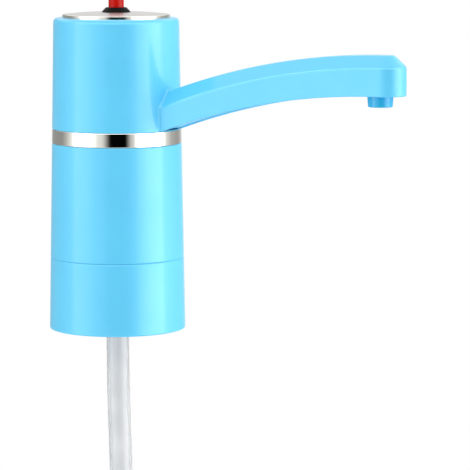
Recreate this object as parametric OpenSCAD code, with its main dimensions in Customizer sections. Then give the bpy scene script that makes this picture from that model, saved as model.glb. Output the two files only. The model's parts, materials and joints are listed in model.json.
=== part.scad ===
// Electric water jug pump: a tapered body that clips over a jug's neck, with a spout and a suction hose.
// Millimetres, +Z up, spout along +X, z = 0 where the rim of the jug's neck seats.

/* [Body] */
// Height from the collar's mouth to the roof
body_h = 164; // [158:1:175]
// Outer diameter at the collar's mouth
rim_d = 71.8; // [71.4:0.2:75]
// Outer diameter at the roof
top_d = 66; // [65:0.2:69]
// Wall of the two shells
wall = 2.4; // [2:0.1:2.7]
// Rounding of the roof's edge
roof_round = 2.6; // [1:0.1:4]
// Rounding of the collar's mouth
mouth_round = 0.9; // [0.4:0.1:1.2]
// Bevel along the seam between collar and lower shell
seam_bevel = 0.4; // [0.2:0.1:0.8]
// Height of the collar from its mouth to the seam
collar_h = 38; // [36:0.5:41]
// Height of the trim ring's lower edge above the mouth
ring_rise = 98.2; // [95:0.2:101]
// Height of the trim ring
ring_h = 7.7; // [6:0.1:9]
// Thickness of the trim ring
ring_t = 0.8; // [0.5:0.1:1]
// Height of the laps that join the shells and the collar
lap_h = 6; // [5:0.5:7]
// Wall of those laps
lap_t = 1.8; // [1.4:0.1:2.2]

/* [Neck grip] */
// Depth from the collar's mouth to the seat of the jug's neck
neck_depth = 28; // [26:0.5:30]
// Wall of the collar around the grip ring
collar_wall = 3.4; // [2.9:0.1:3.9]
// Room behind the fingers, which lets them spring
finger_room = 2.2; // [1.7:0.1:3.2]
// Length of the fingers below the flange
finger_h = 12; // [9:0.5:14]
// Thickness of the fingers
finger_t = 1.8; // [1.4:0.1:2]
// Inward hook at the fingers' ends
finger_hook = 0.9; // [0.5:0.1:1.4]
// Number of fingers
finger_count = 6; // [4:1:8]
// Gap between neighbouring fingers
finger_gap = 5; // [4:0.5:7]
// Thickness of the grip ring's flange
flange_t = 2.2; // [1.6:0.1:3]
// Width of the flange inside the fingers
flange_w = 3.5; // [2.5:0.1:4.5]
// Number of screw lobes
lobe_count = 3; // [2:1:3]
// Distance of the lobes' screws from the flange's inner edge
lobe_in = 4.5; // [4:0.1:5]
// Diameter of a lobe
lobe_d = 10.5; // [9:0.5:12]
// Width of the square recess in the collar's ceiling
recess_w = 8.4; // [6:0.2:9]
// Depth of that recess
recess_h = 8; // [4:0.2:9]
// Thickness of the collar's ceiling
ceiling_t = 3; // [2:0.1:4]
// Diameter of the pan-head screws
grip_screw_d = 3; // [2.5:0.1:3.2]

/* [Suction] */
// Outer diameter of the spigot that carries the suction hose
spigot_d = 8.8; // [8.4:0.1:9]
// Length of that spigot below the ceiling
spigot_len = 15; // [12:0.5:18]
// Water way through the spigot
water_d = 4; // [3:0.1:4.4]
// Outer diameter of the suction hose
hose_d = 12; // [11.6:0.1:13]
// Bore of the suction hose
hose_bore = 9.4; // [9.4:0.1:10]

/* [Spout] */
// Reach of the spout from the body's axis
spout_reach = 169; // [150:1:180]
// Width of the spout
spout_w = 19.5; // [18.5:0.1:20.5]
// Height of the spout's section
spout_h = 20.4; // [19.6:0.1:22]
// Width of the flat along the spout's crown
crown_w = 7.2; // [6.4:0.1:8]
// Rise of the spout from its root to its nose
spout_rise = 22.3; // [18:0.1:24]
// Height of the crown's chamfer at the root
root_drop = 8; // [6:0.1:9]
// Height of the crown's chamfer at the nose
nose_drop = 5.8; // [5:0.1:7]
// Wall of the spout
spout_wall = 2; // [1.6:0.1:2.2]
// Thickness of the cover under the spout
cover_t = 1.8; // [1.4:0.1:2.2]
// Depth that the cover lies inside the spout's lower edge
cover_inset = 0.7; // [0.4:0.1:1]
// Distance of the nozzle from the end of the spout
nozzle_back = 13.4; // [12:0.1:15]
// Diameter of the nozzle
nozzle_d = 13.2; // [12.6:0.1:13.4]
// Length of the nozzle below the spout
nozzle_h = 5.6; // [4.5:0.1:8]
// Bore of the nozzle's mouth
nozzle_bore = 9; // [8:0.1:10]

/* [Top] */
// Diameter of the top plate
plate_d = 56.6; // [55:0.2:58]
// Height of the top plate's edge
plate_edge = 1.6; // [1.2:0.1:2]
// Rise of the top plate from its edge to the switch
plate_crown = 1.2; // [0.6:0.1:1.6]
// Thickness of the top plate
plate_t = 1.4; // [1:0.1:1.6]
// Diameter of the skirt that locates the top plate in the roof
skirt_d = 50; // [48:0.5:51]
// Length of that skirt below the roof
skirt_h = 5; // [4:0.5:6]

/* [Switch] */
// Diameter of the bezel's foot
bezel_d = 14.8; // [14:0.1:16]
// Diameter of the bezel's top
bezel_top_d = 10.9; // [10.4:0.1:11.6]
// Height of the bezel
bezel_h = 2.5; // [2:0.1:3]
// Diameter of the threaded bushing
bushing_d = 11.8; // [11.4:0.1:12.4]
// Length of the switch body below the plate
switch_len = 20; // [18:0.5:24]
// Diameter of the button
button_d = 8.1; // [7.7:0.1:8.3]
// Height of the button above the bezel
button_rise = 5.2; // [4:0.1:6]
// Travel of the button
press = 2.6; // [2:0.1:3]
// Wire of the button's spring
spring_wire = 0.5; // [0.4:0.05:0.6]
// Turns of the button's spring
spring_turns = 7; // [5:1:8]

/* [Motor] */
// Diameter of the motor can
motor_d = 24.4; // [24:0.1:25]
// Length of the motor can
can_l = 26; // [25:0.5:28]
// Sheet of the motor can
can_t = 1; // [0.8:0.1:1.2]
// Length of the end cap
endcap_l = 4.6; // [4:0.1:5.5]
// Diameter of the motor shaft
shaft_d = 2; // [1.8:0.1:2.3]
// Diameter of the armature
armature_d = 17; // [16:0.2:17.6]

/* [Pump] */
// Diameter of the pump's body
pump_d = 28; // [27:0.2:29]
// Wall of the pump's housing
pump_wall = 1.8; // [1.4:0.1:2]
// Distance from the pump's axis to its inlet, which stands over the suction spigot
inlet_off = 8; // [7.5:0.1:8.5]
// Height of the pump's cover above the collar's ceiling
pump_lift = 13; // [12:0.5:15]
// Height of the pump's cover
head_h = 7.5; // [7:0.1:9]
// Thickness of the valve plate
valve_h = 4; // [3.5:0.1:5]
// Thickness of the diaphragm's flange
dia_t = 1.2; // [1:0.1:1.5]
// Height of the drive space in the housing
drive_h = 18; // [17.5:0.5:20]
// Tilt of the crank pin
wobble_deg = 6; // [4:0.5:7]
// Distance of the pump chambers from the pump's axis
chamber_off = 8; // [7.8:0.1:8.2]
// Thickness of the deck that carries motor and pump
deck_t = 3; // [2:0.1:4]
// Outer diameter of the outlet hose
outlet_d = 8; // [7.4:0.1:8.4]
// Outer diameter of the nipples that carry the inner hoses
nipple_d = 5; // [4.6:0.1:5.2]

/* [Battery and board] */
// Diameter of the battery cell
cell_d = 18.3; // [18:0.1:18.6]
// Length of the battery cell
cell_l = 65; // [60:0.5:66]
// Width of the charging board
board_w = 22; // [20:0.5:23]
// Height of the charging board
board_h = 18; // [17:0.5:20]
// Thickness of the charging board
board_t = 1.6; // [1:0.1:1.6]
// Outer diameter of the charging jack's barrel
jack_d = 6; // [5.5:0.1:6.4]
// Bore of the charging jack
jack_bore = 3.6; // [3.4:0.1:4]
// Diameter of the charge lamp
lamp_d = 3; // [2.6:0.1:3.2]

/* [Fits] */
// Clearance between moulded pieces that lap
fit = 0.15; // [0.1:0.01:0.2]
// Clearance of pieces that slide or are pushed together
slip = 0.08; // [0.05:0.01:0.1]
// Radial clearance of turning shafts
run = 0.03; // [0.02:0.01:0.05]

/* [Hidden] */
$fn = 64;

// Overrun of cutting shapes, and overlap of shapes that are fused
over = 1;
bite = 0.5;

// Levels of the body
mouth_z = -neck_depth;
seam_z = mouth_z + collar_h;
ring_lo = mouth_z + ring_rise;
ring_hi = ring_lo + ring_h;
split_z = (ring_lo + ring_hi) / 2;
roof_z = mouth_z + body_h;
ceil_z = flange_t;
floor_z = ceil_z + ceiling_t;

// Radii of the body, which tapers evenly from its mouth to its roof
function body_r(z) = rim_d / 2 - (rim_d - top_d) / 2 * (z - mouth_z) / body_h;
function inner_r(z) = body_r(z) - wall;
ring_bore_r = body_r(ring_hi) - ring_t;
ring_seat_r = ring_bore_r - slip;
collar_lap_r = inner_r(seam_z + lap_h) - fit;
shell_lap_r = inner_r(split_z) - fit;
snap = 0.4;
snap_z = seam_z + lap_h / 2;
collar_bore_r = rim_d / 2 - collar_wall;
lip_step = 0.7;
lip_h = 5;
ring_bevel = 0.3;

// Grip ring
grip_r = collar_bore_r - finger_room - finger_t;
flange_bore_r = grip_r - flange_w;
lobe_r = flange_bore_r - lobe_in;
lobe_a0 = 60;
boss_d = 5.8;
boss_h = 7;
grip_head_d = 5.8;
grip_head_h = 1.9;
grip_screw_len = 8;
pilot_gap = 0.05;
cross_l = 3.4;
cross_w = 0.8;
cross_depth = 1;
key_w = finger_gap - 1.6;
key_depth = 2.4;
recess_r = flange_bore_r - recess_w / 2;
recess_a = 240;
recess_wall = 1.4;
recess_round = 1.2;
spigot_bevel = 0.6;

// Suction hose, hung straight from the spigot, with the curl of a coiled tube further down
hose_route = [
    [0, 0, 1.6], [0, 0, -14], [0, 0, -30], [0.2, 0, -52], [0.6, 0.1, -74], [1.3, 0.2, -96],
    [1.7, 0.5, -121.6], [3.1, 0.8, -147.1], [5.6, 1, -172.5], [9.4, 1.2, -197.8], [14.5, 1.3, -222.9],
    [20.9, 1.4, -247.7], [28.7, 1.4, -272], [38, 1.3, -295.8], [48.7, 1.2, -319.1], [60.7, 1, -341.6],
    [74.2, 0.8, -363.3], [89, 0.5, -384.2], [105.1, 0.2, -404]
];
hose_sides = 12;

// Spout: a parabola that levels out at the nose
half_w = spout_w / 2;
crown_half = crown_w / 2;
root_out = 0.1;
root_x = body_r(ring_hi) + root_out;
nose_x = spout_reach - half_w;
nozzle_x = spout_reach - nozzle_back;
root_gap = 0.4;
root_low = ring_hi + root_gap;
nose_top = root_low + spout_h + spout_rise;
function spout_top(x) =
    nose_top - spout_rise * pow(max(0, nose_x - max(x, root_x)) / (nose_x - root_x), 2);
function spout_low(x) = spout_top(x) - spout_h;
function spout_drop(x) =
    root_drop + (nose_drop - root_drop) * (min(max(x, root_x), nose_x) - root_x) / (nose_x - root_x);
side_steps = 10;
nose_steps = 6;
spout_in_x = 25;
spout_flange_t = 2.2;
spout_flange_x = spout_in_x + spout_flange_t;
ear_w = 4.4;
ear_screw_in = 2.6;
ear_screw_end = 4;
spout_flange_w = half_w + ear_w;
spout_flange_low = root_low + cover_inset + cover_t;
spout_flange_high = spout_top(root_x) + spout_flange_t;
spout_screw_d = 2;
spout_screw_bite = 2.6;
spout_pilot = 3;
spout_head_d = 3.6;
spout_head_h = 1.4;
spout_screw_y = half_w + ear_screw_in;
spout_screw_z = [spout_flange_low + ear_screw_end, spout_flange_high - ear_screw_end];
rail_w = 4.2;
rail_end_x = sqrt(pow(inner_r(ring_hi), 2) - pow(spout_screw_y - rail_w / 2, 2)) + slip;
nose_cover_z = spout_low(nose_x) + cover_inset + cover_t;
nozzle_taper = 0.4;
nozzle_lip = 0.8;
nozzle_lip_h = 1;
nozzle_roof = 1.4;
chamber_d = 12;
chamber_h = 10.5;
nipple_lift = 5.6;
nozzle_nipple_z = nose_cover_z + nipple_lift;
nozzle_nipple_len = 9;

// Top plate and switch
plate_z = roof_z + plate_edge + plate_crown;
skirt_t = 1.4;
plate_round = 0.7;
plate_bevel = 0.3;
plate_flat_r = bezel_d / 2 + 2;
plate_bore_d = bushing_d + 2 * fit;
guide_r = button_d / 2 + slip;
flange_drop = 4;
button_step = 0.6;
button_flange_d = button_d + 2 * button_step;
button_flange_h = 1.5;
button_round = 0.7;
bezel_foot = 0.4;
bezel_edge = 0.2;
switch_bore_d = button_flange_d + 2 * fit;
switch_low = plate_z - switch_len;
base_h = 3;
base_top = switch_low + base_h;
stem_d = 3;
contact_t = 0.5;
contact_d = 4.6;
post_d = 1.4;
post_rise = 0.2;
post_y = 1.4;
contact_z = base_top + post_rise + press + slip;
spring_r = 3.2;
spring_steps = 8;
spring_sides = 6;
post_drop = 1;
terminal_len = 7;
terminal_w = 2.8;
terminal_t = 0.6;
washer_t = 0.6;
nut_h = 2.2;
nut_across = 14;
under_plate = plate_z - plate_t;

// Pump and motor stack, from the cover upwards
pump_x = -inlet_off;
pump_low = floor_z + pump_lift;
head_top = pump_low + head_h;
valve_top = head_top + valve_h;
dia_top = valve_top + dia_t;
deck_z = dia_top + drive_h;
motor_z = deck_z + deck_t;
can_top = motor_z + can_l;
pump_ear_out = 0.8;
ear_off = pump_d / 2 + pump_ear_out;
ear_d = 5.6;
pump_screw_d = 2.2;
pump_head_d = 4;
pump_head_h = 1.6;
pump_screw_bite = 9;
pump_pilot = 10;
nipple_len = 8;
nipple_wall = 0.9;
nipple_bore = nipple_d - 2 * nipple_wall;
inlet_nipple_d = 6;
inlet_gap = 0.6;
inlet_tube_t = 1.8;
elbow_off = 5;
elbow_x = pump_x - elbow_off;
elbow_drop = 5;
elbow_d = 7.6;
elbow_len = 11.5;
elbow_z = pump_low - elbow_drop;
boss_front_d = 6.2;
boss_front_h = 1.4;
motor_screw_d = 2.4;
motor_screw_off = 8;
motor_screw_bite = 2;
motor_head_d = 4;
motor_head_h = 1.4;
bush_d = 5;
bush_h = 3;
pivot_rise = 5.2;
pivot_z = dia_top + pivot_rise;
eccentric_rise = 3.6;
eccentric_z = pivot_z + eccentric_rise;
eccentric_d = 10.4;
eccentric_drop = 2.4;
eccentric_h = deck_z - eccentric_drop - eccentric_z;
drive_gap = 0.3;
shaft_gap = 0.3;
pin_d = 2;
pin_up = 6.4;
pin_low = 0.9;
arm_t = 1.6;
arm_w = 4.6;
hub_d = 6.4;
hub_low = 1.5;
hub_high = 2.4;
cup_d = 8;
cup_h = 2.4;
cup_wall = 0.8;
cup_nipple_d = 1.8;
cup_nipple_gap = 0.45;
cup_stem_d = 3;
cup_bead = 0.6;
arm_clear = 0.4;
arm_angles = [0, 120, 240];
valve_d = 6;
valve_t = 0.7;
valve_end = 0.6;
valve_stem_d = 1.6;
port_angles = [30, 150, 270];
port_off = 1.9;
port_d = 1.2;
outlet_port_off = 2.9;
outlet_port_d = 1.4;
outlet_valve_d = 9.4;
outlet_valve_t = 0.8;
outlet_stem_d = 2.4;
well_h = 3;
outlet_well_d = 11;
inlet_well_d = 13.4;
core_lift = 7;
core_z = motor_z + core_lift;
pole_hub_d = 6.4;
pole_w = 2.8;
pole_shoe_t = 1.7;
pole_half_angle = 50;
winding_x = 3.6;
winding_w = 5;
winding_over = 1.6;
winding_gap = 1;
core_h = 12;
magnet_h = 17;
magnet_t = 1.9;
magnet_lift = 4.5;
magnet_gap = 2.6;
commutator_d = 6;
commutator_h = 5;
commutator_drop = 4;
brush_gap = 0.3;
brush_w = 2.4;
brush_h = 2;
brush_drop = 2.3;
brush_arm = 0.6;
brush_room_d = 16;
brush_room_h = 1;
endcap_plug = 1.6;

// Battery, board and deck
cell_gap = 3.8;
cell_x = pump_x + pump_d / 2 + cell_gap + cell_d / 2;
cell_round = 1;
cell_cap_r = 3.2;
cell_cap_h = 1;
tab_t = 0.3;
tab_w = 5;
tab_l = 6;
tab_long = 10;
cell_z = floor_z + fit;
socket_t = 1.6;
socket_h = 5;
deck_gap = 0.3;
deck_r = inner_r(deck_z + deck_t) - deck_gap;
deck_boss_d = 6.4;
deck_boss_h = 16;
deck_boss_in = 2.4;
deck_boss_r = inner_r(deck_z) - deck_boss_in;
deck_boss_angles = [-45, -135, 138];
deck_screw_d = 2.6;
deck_screw_bite = 7;
deck_pilot = 10;
deck_head_d = 4.6;
deck_head_h = 1.6;
flange_under = 2.5;
board_gap = 3.4;
board_x = pump_x - motor_d / 2 - board_gap;
board_z = motor_z + fit;
board_face_x = board_x - board_t;
guide_h = 12;
guide_w = 3;
guide_d = 4;
guide_lap = 1;
jack_rise = 6.55;
jack_z = board_z + jack_rise;
jack_body = 7.4;
jack_body_h = 6.6;
jack_body_l = 4.6;
jack_pin_d = 1.3;
jack_pin_back = 1;
jack_bore_l = 6.5;
jack_recess = 0.5;
lamp_recess = 0.4;
lamp_y = 8;
jack_face_x = -body_r(jack_z) + jack_recess;

// Route of the outlet hose: from the pump's elbow up the wall, then along the inside of the spout
hose_low = root_low + cover_inset + cover_t;
hose_pass = [10.6, 23.4];
hose_room = 0.7;
hose_rise = 1;
hose_runs = 8;
hose_entry = 3.8;
hose_straight = 13.6;
hose_in_x = spout_flange_x + hose_entry;
hose_out_x = nozzle_x - chamber_d / 2 - nozzle_nipple_len - hose_straight;
outlet_route = concat(
    [
        [elbow_x, 5, elbow_z], [elbow_x, elbow_len + 0.5, elbow_z], [elbow_x, elbow_len + 2, elbow_z],
        [elbow_x + 2.4, 19.4, elbow_z + 1], [-3.6, 24.2, elbow_z + 7], [4.2, 25, elbow_z + 15],
        [8.6, 24, elbow_z + 25],
        [hose_pass.x, hose_pass.y, deck_z + deck_t / 2], [11, 22.4, motor_z + 12],
        [11.6, 18.6, motor_z + 24], [15.6, 9.6, hose_low + 4], [22.6, 2, hose_low + 7]
    ],
    [for (i = [0:hose_runs])
        let(x = hose_in_x + (hose_out_x - hose_in_x) * i / hose_runs)
        [x, 0, spout_mid(x)]],
    [for (d = [nozzle_nipple_len + 2.4, nozzle_nipple_len + 0.6, 0.6])
        [nozzle_x - chamber_d / 2 - d, 0, nozzle_nipple_z]]
);
function spout_mid(x) =
    let(blend = min(1, max(0, x - root_x) / (nose_x - root_x)))
    let(lift = outlet_d / 2 + hose_rise)
    spout_low(x) + cover_inset + cover_t + lift + blend * (nipple_lift - lift);
outlet_sides = 8;

// Points of an arc, from angle a0 to a1
function arc(c, r, a0, a1, n = 6) =
    [for (i = [0:n]) let(a = a0 + (a1 - a0) * i / n) c + r * [cos(a), sin(a)]];

// Smooth curve through hand-set points, with n steps between neighbours
function curve(pts, n) = concat(
    [for (i = [0:len(pts) - 2], k = [0:n - 1])
        let(
            a = pts[max(i - 1, 0)],
            b = pts[i],
            c = pts[i + 1],
            d = pts[min(i + 2, len(pts) - 1)],
            t = k / n
        )
        0.5 * (2 * b + (c - a) * t + (2 * a - 5 * b + 4 * c - d) * t * t
            + (3 * b - a - 3 * c + d) * t * t * t)],
    [pts[len(pts) - 1]]
);

function unit(v) = v / norm(v);

function tangent(path, i) = unit(path[min(i + 1, len(path) - 1)] - path[max(i - 1, 0)]);

// One ring of points round a path, with its start direction set by the vector side
function ring(path, i, r, sides, side) =
    let(t = tangent(path, i), u = unit(cross(t, side)), v = cross(t, u))
    [for (k = [0:sides - 1]) let(a = 360 * k / sides) path[i] + r * (cos(a) * u + sin(a) * v)];

// Hollow tube along a path
module tube(path, r_out, r_in, sides, side) {
    n = len(path);
    outer = [for (i = [0:n - 1]) each ring(path, i, r_out, sides, side)];
    inner = [for (i = [0:n - 1]) each ring(path, i, r_in, sides, side)];
    far = n * sides;
    function next(k) = (k + 1) % sides;
    skin = [for (i = [0:n - 2], k = [0:sides - 1])
        let(a = i * sides + k, b = i * sides + next(k))
        each [[a, b, b + sides], [a, b + sides, a + sides]]];
    bore = [for (f = skin) [far + f[0], far + f[2], far + f[1]]];
    ends = [for (k = [0:sides - 1])
        let(a = k, b = next(k), c = (n - 1) * sides + k, d = (n - 1) * sides + next(k))
        each [[a, far + a, far + b], [a, far + b, b], [c, d, far + d], [c, far + d, far + c]]];
    polyhedron(concat(outer, inner), concat(skin, bore, ends), convexity = 6);
}

// Solid wire along a path
module wire(path, r, sides, side) {
    n = len(path);
    points = [for (i = [0:n - 1]) each ring(path, i, r, sides, side)];
    function next(k) = (k + 1) % sides;
    skin = [for (i = [0:n - 2], k = [0:sides - 1])
        let(a = i * sides + k, b = i * sides + next(k))
        each [[a, b, b + sides], [a, b + sides, a + sides]]];
    ends = [for (k = [1:sides - 2])
        each [[0, k + 1, k], [(n - 1) * sides, (n - 1) * sides + k, (n - 1) * sides + k + 1]]];
    polyhedron(points, concat(skin, ends), convexity = 6);
}

// Solid of revolution from points [radius, height]
module turned(points) {
    rotate_extrude() polygon(points);
}

// Copies round the Z axis
module around(count, start = 0) {
    for (i = [0:count - 1]) rotate([0, 0, start + 360 * i / count]) children();
}

// Ring of rectangular section
module collar(r_out, r_in, z, h) {
    translate([0, 0, z]) difference() {
        cylinder(r = r_out, h = h);
        translate([0, 0, -over]) cylinder(r = r_in, h = h + 2 * over);
    }
}

// Half of the spout's plan, from x0 along one side and round the nose, drawn in by inset
function plan(inset, x0) = concat(
    [[x0, half_w - inset]],
    [for (i = [0:side_steps]) [root_x + (nose_x - root_x) * i / side_steps, half_w - inset]],
    [for (j = [1:nose_steps])
        let(a = 90 - 90 * j / nose_steps)
        [nose_x + (half_w - inset) * cos(a), (half_w - inset) * sin(a)]]
);

// Loft between levels, each a half plan with heights, mirrored over the spout's middle
module loft(levels) {
    n = len(levels[0]);
    m = 2 * n - 1;
    points = [for (half = levels) each concat(
        half,
        [for (i = [n - 2:-1:0]) [half[i].x, -half[i].y, half[i].z]]
    )];
    last = (len(levels) - 1) * m;
    sides = [for (k = [0:len(levels) - 2], i = [0:m - 1])
        let(a = k * m + i, b = k * m + (i + 1) % m)
        each [[a, b, b + m], [a, b + m, a + m]]];
    caps = [for (i = [0:n - 2])
        let(a = i, b = i + 1, c = m - 2 - i, d = m - 1 - i)
        each (b == c
            ? [[a, d, b], [last + a, last + b, last + d]]
            : [[a, c, b], [a, d, c], [last + a, last + b, last + c], [last + a, last + c, last + d]])];
    polyhedron(points, concat(sides, caps), convexity = 6);
}

// Full section of the spout, drawn in by inset at its sides and crown and by low at its underside
module spout_form(x0, inset, low) {
    side = plan(inset, x0);
    crown = plan(half_w - crown_half + inset / 2, x0);
    loft([
        [for (p = side) [p.x, p.y, spout_low(p.x) + low]],
        [for (p = side) [p.x, p.y, spout_top(p.x) - spout_drop(p.x) - inset / 2]],
        [for (p = crown) [p.x, p.y, spout_top(p.x) - inset]]
    ]);
}

// Screw with a round head below its seat and a shank above it, along +Z
module screw(d, len, head_d, head_h) {
    translate([0, 0, -head_h]) cylinder(d = head_d, h = head_h);
    translate([0, 0, -head_h / 2]) cylinder(d = d, h = len + head_h / 2);
}

// Square with rounded corners
module soft_square(w, r) {
    c = w / 2 - r;
    polygon([for (a = [0:90:270]) each arc(c * sqrt(2) * [cos(a + 45), sin(a + 45)], r, a, a + 90)]);
}

// Block of the ceiling's square recess, larger by grow all round
module recess_form(grow, z, h) {
    rotate([0, 0, recess_a]) translate([recess_r, 0, z])
        linear_extrude(h) soft_square(recess_w + 2 * grow, recess_round + grow);
}

module base_collar() {
    lip_r = collar_bore_r + lip_step;
    mouth_c = [body_r(mouth_z) - mouth_round, mouth_z + mouth_round];
    color("lightskyblue") difference() {
        union() {
            turned(concat(
                [[lip_r, mouth_z]],
                arc(mouth_c, mouth_round, -90, 0),
                [
                    [body_r(seam_z - seam_bevel), seam_z - seam_bevel],
                    [body_r(seam_z) - seam_bevel, seam_z],
                    [collar_lap_r, seam_z],
                    [collar_lap_r, snap_z - snap * 2],
                    [collar_lap_r + snap, snap_z],
                    [collar_lap_r, snap_z + snap * 2],
                    [collar_lap_r, seam_z + lap_h],
                    [collar_lap_r - lap_t, seam_z + lap_h],
                    [collar_lap_r - lap_t, floor_z],
                    [inlet_nipple_d / 2, floor_z],
                    [inlet_nipple_d / 2, pump_low - nipple_len - inlet_gap],
                    [water_d / 2, pump_low - nipple_len - inlet_gap],
                    [water_d / 2, ceil_z - spigot_len],
                    [spigot_d / 2 - spigot_bevel, ceil_z - spigot_len],
                    [spigot_d / 2, ceil_z - spigot_len + 2 * spigot_bevel],
                    [spigot_d / 2, ceil_z],
                    [collar_bore_r, ceil_z],
                    [collar_bore_r, mouth_z + lip_h + lip_step],
                    [lip_r, mouth_z + lip_h]
                ]
            ));
            around(lobe_count, lobe_a0) translate([lobe_r, 0, floor_z]) cylinder(d = boss_d, h = boss_h);
            translate([cell_x, 0, 0]) intersection() {
                collar(cell_d / 2 + fit + socket_t, cell_d / 2 + fit, floor_z - bite, socket_h + bite);
                translate([-cell_x, 0, floor_z - over])
                    cylinder(r = collar_lap_r - lap_t / 2, h = socket_h + 2 * over);
            }
            around(finger_count, lobe_a0)
                translate([collar_bore_r - key_depth, -key_w / 2, ceil_z - finger_h])
                    cube([key_depth + bite, key_w, finger_h + bite]);
            recess_form(recess_wall, floor_z - bite, recess_h - ceiling_t + recess_wall + bite);
        }
        recess_form(0, ceil_z - over, recess_h + over);
        around(lobe_count, lobe_a0) translate([lobe_r, 0, ceil_z - over])
            cylinder(d = grip_screw_d + 2 * pilot_gap, h = ceiling_t + boss_h);
    }
}

module lower_shell() {
    color("lightskyblue") difference() {
        union() {
            turned([
                [inner_r(seam_z), seam_z],
                [body_r(seam_z) - seam_bevel, seam_z],
                [body_r(seam_z + seam_bevel), seam_z + seam_bevel],
                [body_r(ring_lo), ring_lo],
                [ring_seat_r, ring_lo],
                [ring_seat_r, split_z],
                [inner_r(split_z), split_z],
                [inner_r(snap_z + snap * 2), snap_z + snap * 2],
                [inner_r(snap_z) + snap, snap_z],
                [inner_r(snap_z - snap * 2), snap_z - snap * 2]
            ]);
            for (a = deck_boss_angles) rotate([0, 0, a])
                translate([deck_boss_r, 0, deck_z - deck_boss_h])
                    cylinder(d = deck_boss_d, h = deck_boss_h);
        }
        for (a = deck_boss_angles) rotate([0, 0, a])
            translate([deck_boss_r, 0, deck_z - deck_pilot])
                cylinder(d = deck_screw_d + 2 * pilot_gap, h = deck_pilot + over);
        translate([0, 0, jack_z]) rotate([0, -90, 0]) cylinder(d = jack_d + 2 * fit, h = rim_d);
        translate([0, lamp_y, jack_z]) rotate([0, -90, 0]) cylinder(d = lamp_d + 2 * fit, h = rim_d);
    }
}

module trim_ring() {
    color("gainsboro") turned([
        [ring_bore_r, ring_lo + slip],
        [body_r(ring_lo) - ring_bevel, ring_lo + slip],
        [body_r(ring_lo + slip + ring_bevel), ring_lo + slip + ring_bevel],
        [body_r(ring_hi - slip - ring_bevel), ring_hi - slip - ring_bevel],
        [body_r(ring_hi) - ring_bevel, ring_hi - slip],
        [ring_bore_r, ring_hi - slip]
    ]);
}

module upper_shell() {
    edge_c = [body_r(roof_z) - roof_round, roof_z - roof_round];
    roof_hole_r = skirt_d / 2 + fit;
    lap_in_r = shell_lap_r - lap_t;
    color("lightskyblue") difference() {
        union() {
            turned(concat(
                [
                    [lap_in_r, split_z - lap_h],
                    [shell_lap_r, split_z - lap_h],
                    [shell_lap_r, split_z + slip],
                    [ring_seat_r, split_z + slip],
                    [ring_seat_r, ring_hi],
                    [body_r(ring_hi), ring_hi]
                ],
                arc(edge_c, roof_round, 0, 90),
                [
                    [roof_hole_r, roof_z],
                    [roof_hole_r, roof_z - wall],
                    [inner_r(roof_z - wall), roof_z - wall],
                    [inner_r(ring_hi + lap_t), ring_hi + lap_t],
                    [lap_in_r, ring_hi]
                ]
            ));
            for (s = [-1, 1]) translate([spout_flange_x, s * spout_screw_y - rail_w / 2, spout_flange_low])
                cube([rail_end_x - spout_flange_x, rail_w, spout_flange_high - spout_flange_low]);
        }
        translate([spout_in_x, 0, 0]) rotate([90, 0, 90]) linear_extrude(root_x) polygon([
            [-half_w - fit, root_low - fit],
            [half_w + fit, root_low - fit],
            [half_w + fit, spout_top(root_x) - spout_drop(root_x) + fit],
            [crown_half + fit, spout_top(root_x) + fit],
            [-crown_half - fit, spout_top(root_x) + fit],
            [-half_w - fit, spout_top(root_x) - spout_drop(root_x) + fit]
        ]);
        for (s = [-1, 1], z = spout_screw_z) translate([spout_flange_x - over, s * spout_screw_y, z])
            rotate([0, 90, 0]) cylinder(d = spout_screw_d + 2 * pilot_gap, h = spout_pilot + over);
    }
}

module grip_ring() {
    color("dimgray") difference() {
        union() {
            turned([
                [flange_bore_r, 0],
                [grip_r, 0],
                [grip_r, -finger_h + 4 * finger_hook],
                [grip_r - finger_hook, -finger_h + 2 * finger_hook],
                [grip_r - finger_hook, -finger_h + finger_hook],
                [grip_r, -finger_h],
                [grip_r + finger_t, -finger_h],
                [grip_r + finger_t, flange_t],
                [flange_bore_r, flange_t]
            ]);
            around(lobe_count, lobe_a0) {
                translate([lobe_r, 0, 0]) cylinder(d = lobe_d, h = flange_t);
                translate([lobe_r, -lobe_d / 2, 0])
                    cube([flange_bore_r + bite - lobe_r, lobe_d, flange_t]);
            }
        }
        around(finger_count, lobe_a0)
            translate([grip_r - 2 * finger_hook, -finger_gap / 2, -finger_h - over])
                cube([finger_t + 3 * finger_hook + over, finger_gap, finger_h + flange_t + 2 * over]);
        around(lobe_count, lobe_a0) translate([lobe_r, 0, -over])
            cylinder(d = grip_screw_d + 2 * fit, h = flange_t + 2 * over);
    }
}

module grip_screws() {
    color("silver") around(lobe_count, lobe_a0) translate([lobe_r, 0, 0]) difference() {
        screw(grip_screw_d, grip_screw_len, grip_head_d, grip_head_h);
        for (a = [0, 90]) rotate([0, 0, a]) translate([-cross_l / 2, -cross_w / 2, -grip_head_h - over])
            cube([cross_l, cross_w, cross_depth + over]);
    }
}

module suction_hose() {
    flats = cos(180 / hose_sides);
    color("whitesmoke") tube(hose_route, hose_d / 2, hose_bore / 2 / flats, hose_sides, [0, 1, 0]);
}

module spout_shell() {
    flange_h = spout_flange_high - spout_flange_low;
    color("lightskyblue") difference() {
        union() {
            spout_form(spout_in_x, 0, 0);
            translate([spout_in_x, -spout_flange_w, spout_flange_low])
                cube([spout_flange_t, 2 * spout_flange_w, flange_h]);
        }
        spout_form(spout_in_x - over, spout_wall, -over);
        for (s = [-1, 1], z = spout_screw_z) translate([spout_in_x - over, s * spout_screw_y, z])
            rotate([0, 90, 0]) cylinder(d = spout_screw_d + 2 * fit, h = spout_flange_t + 2 * over);
    }
}

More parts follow.
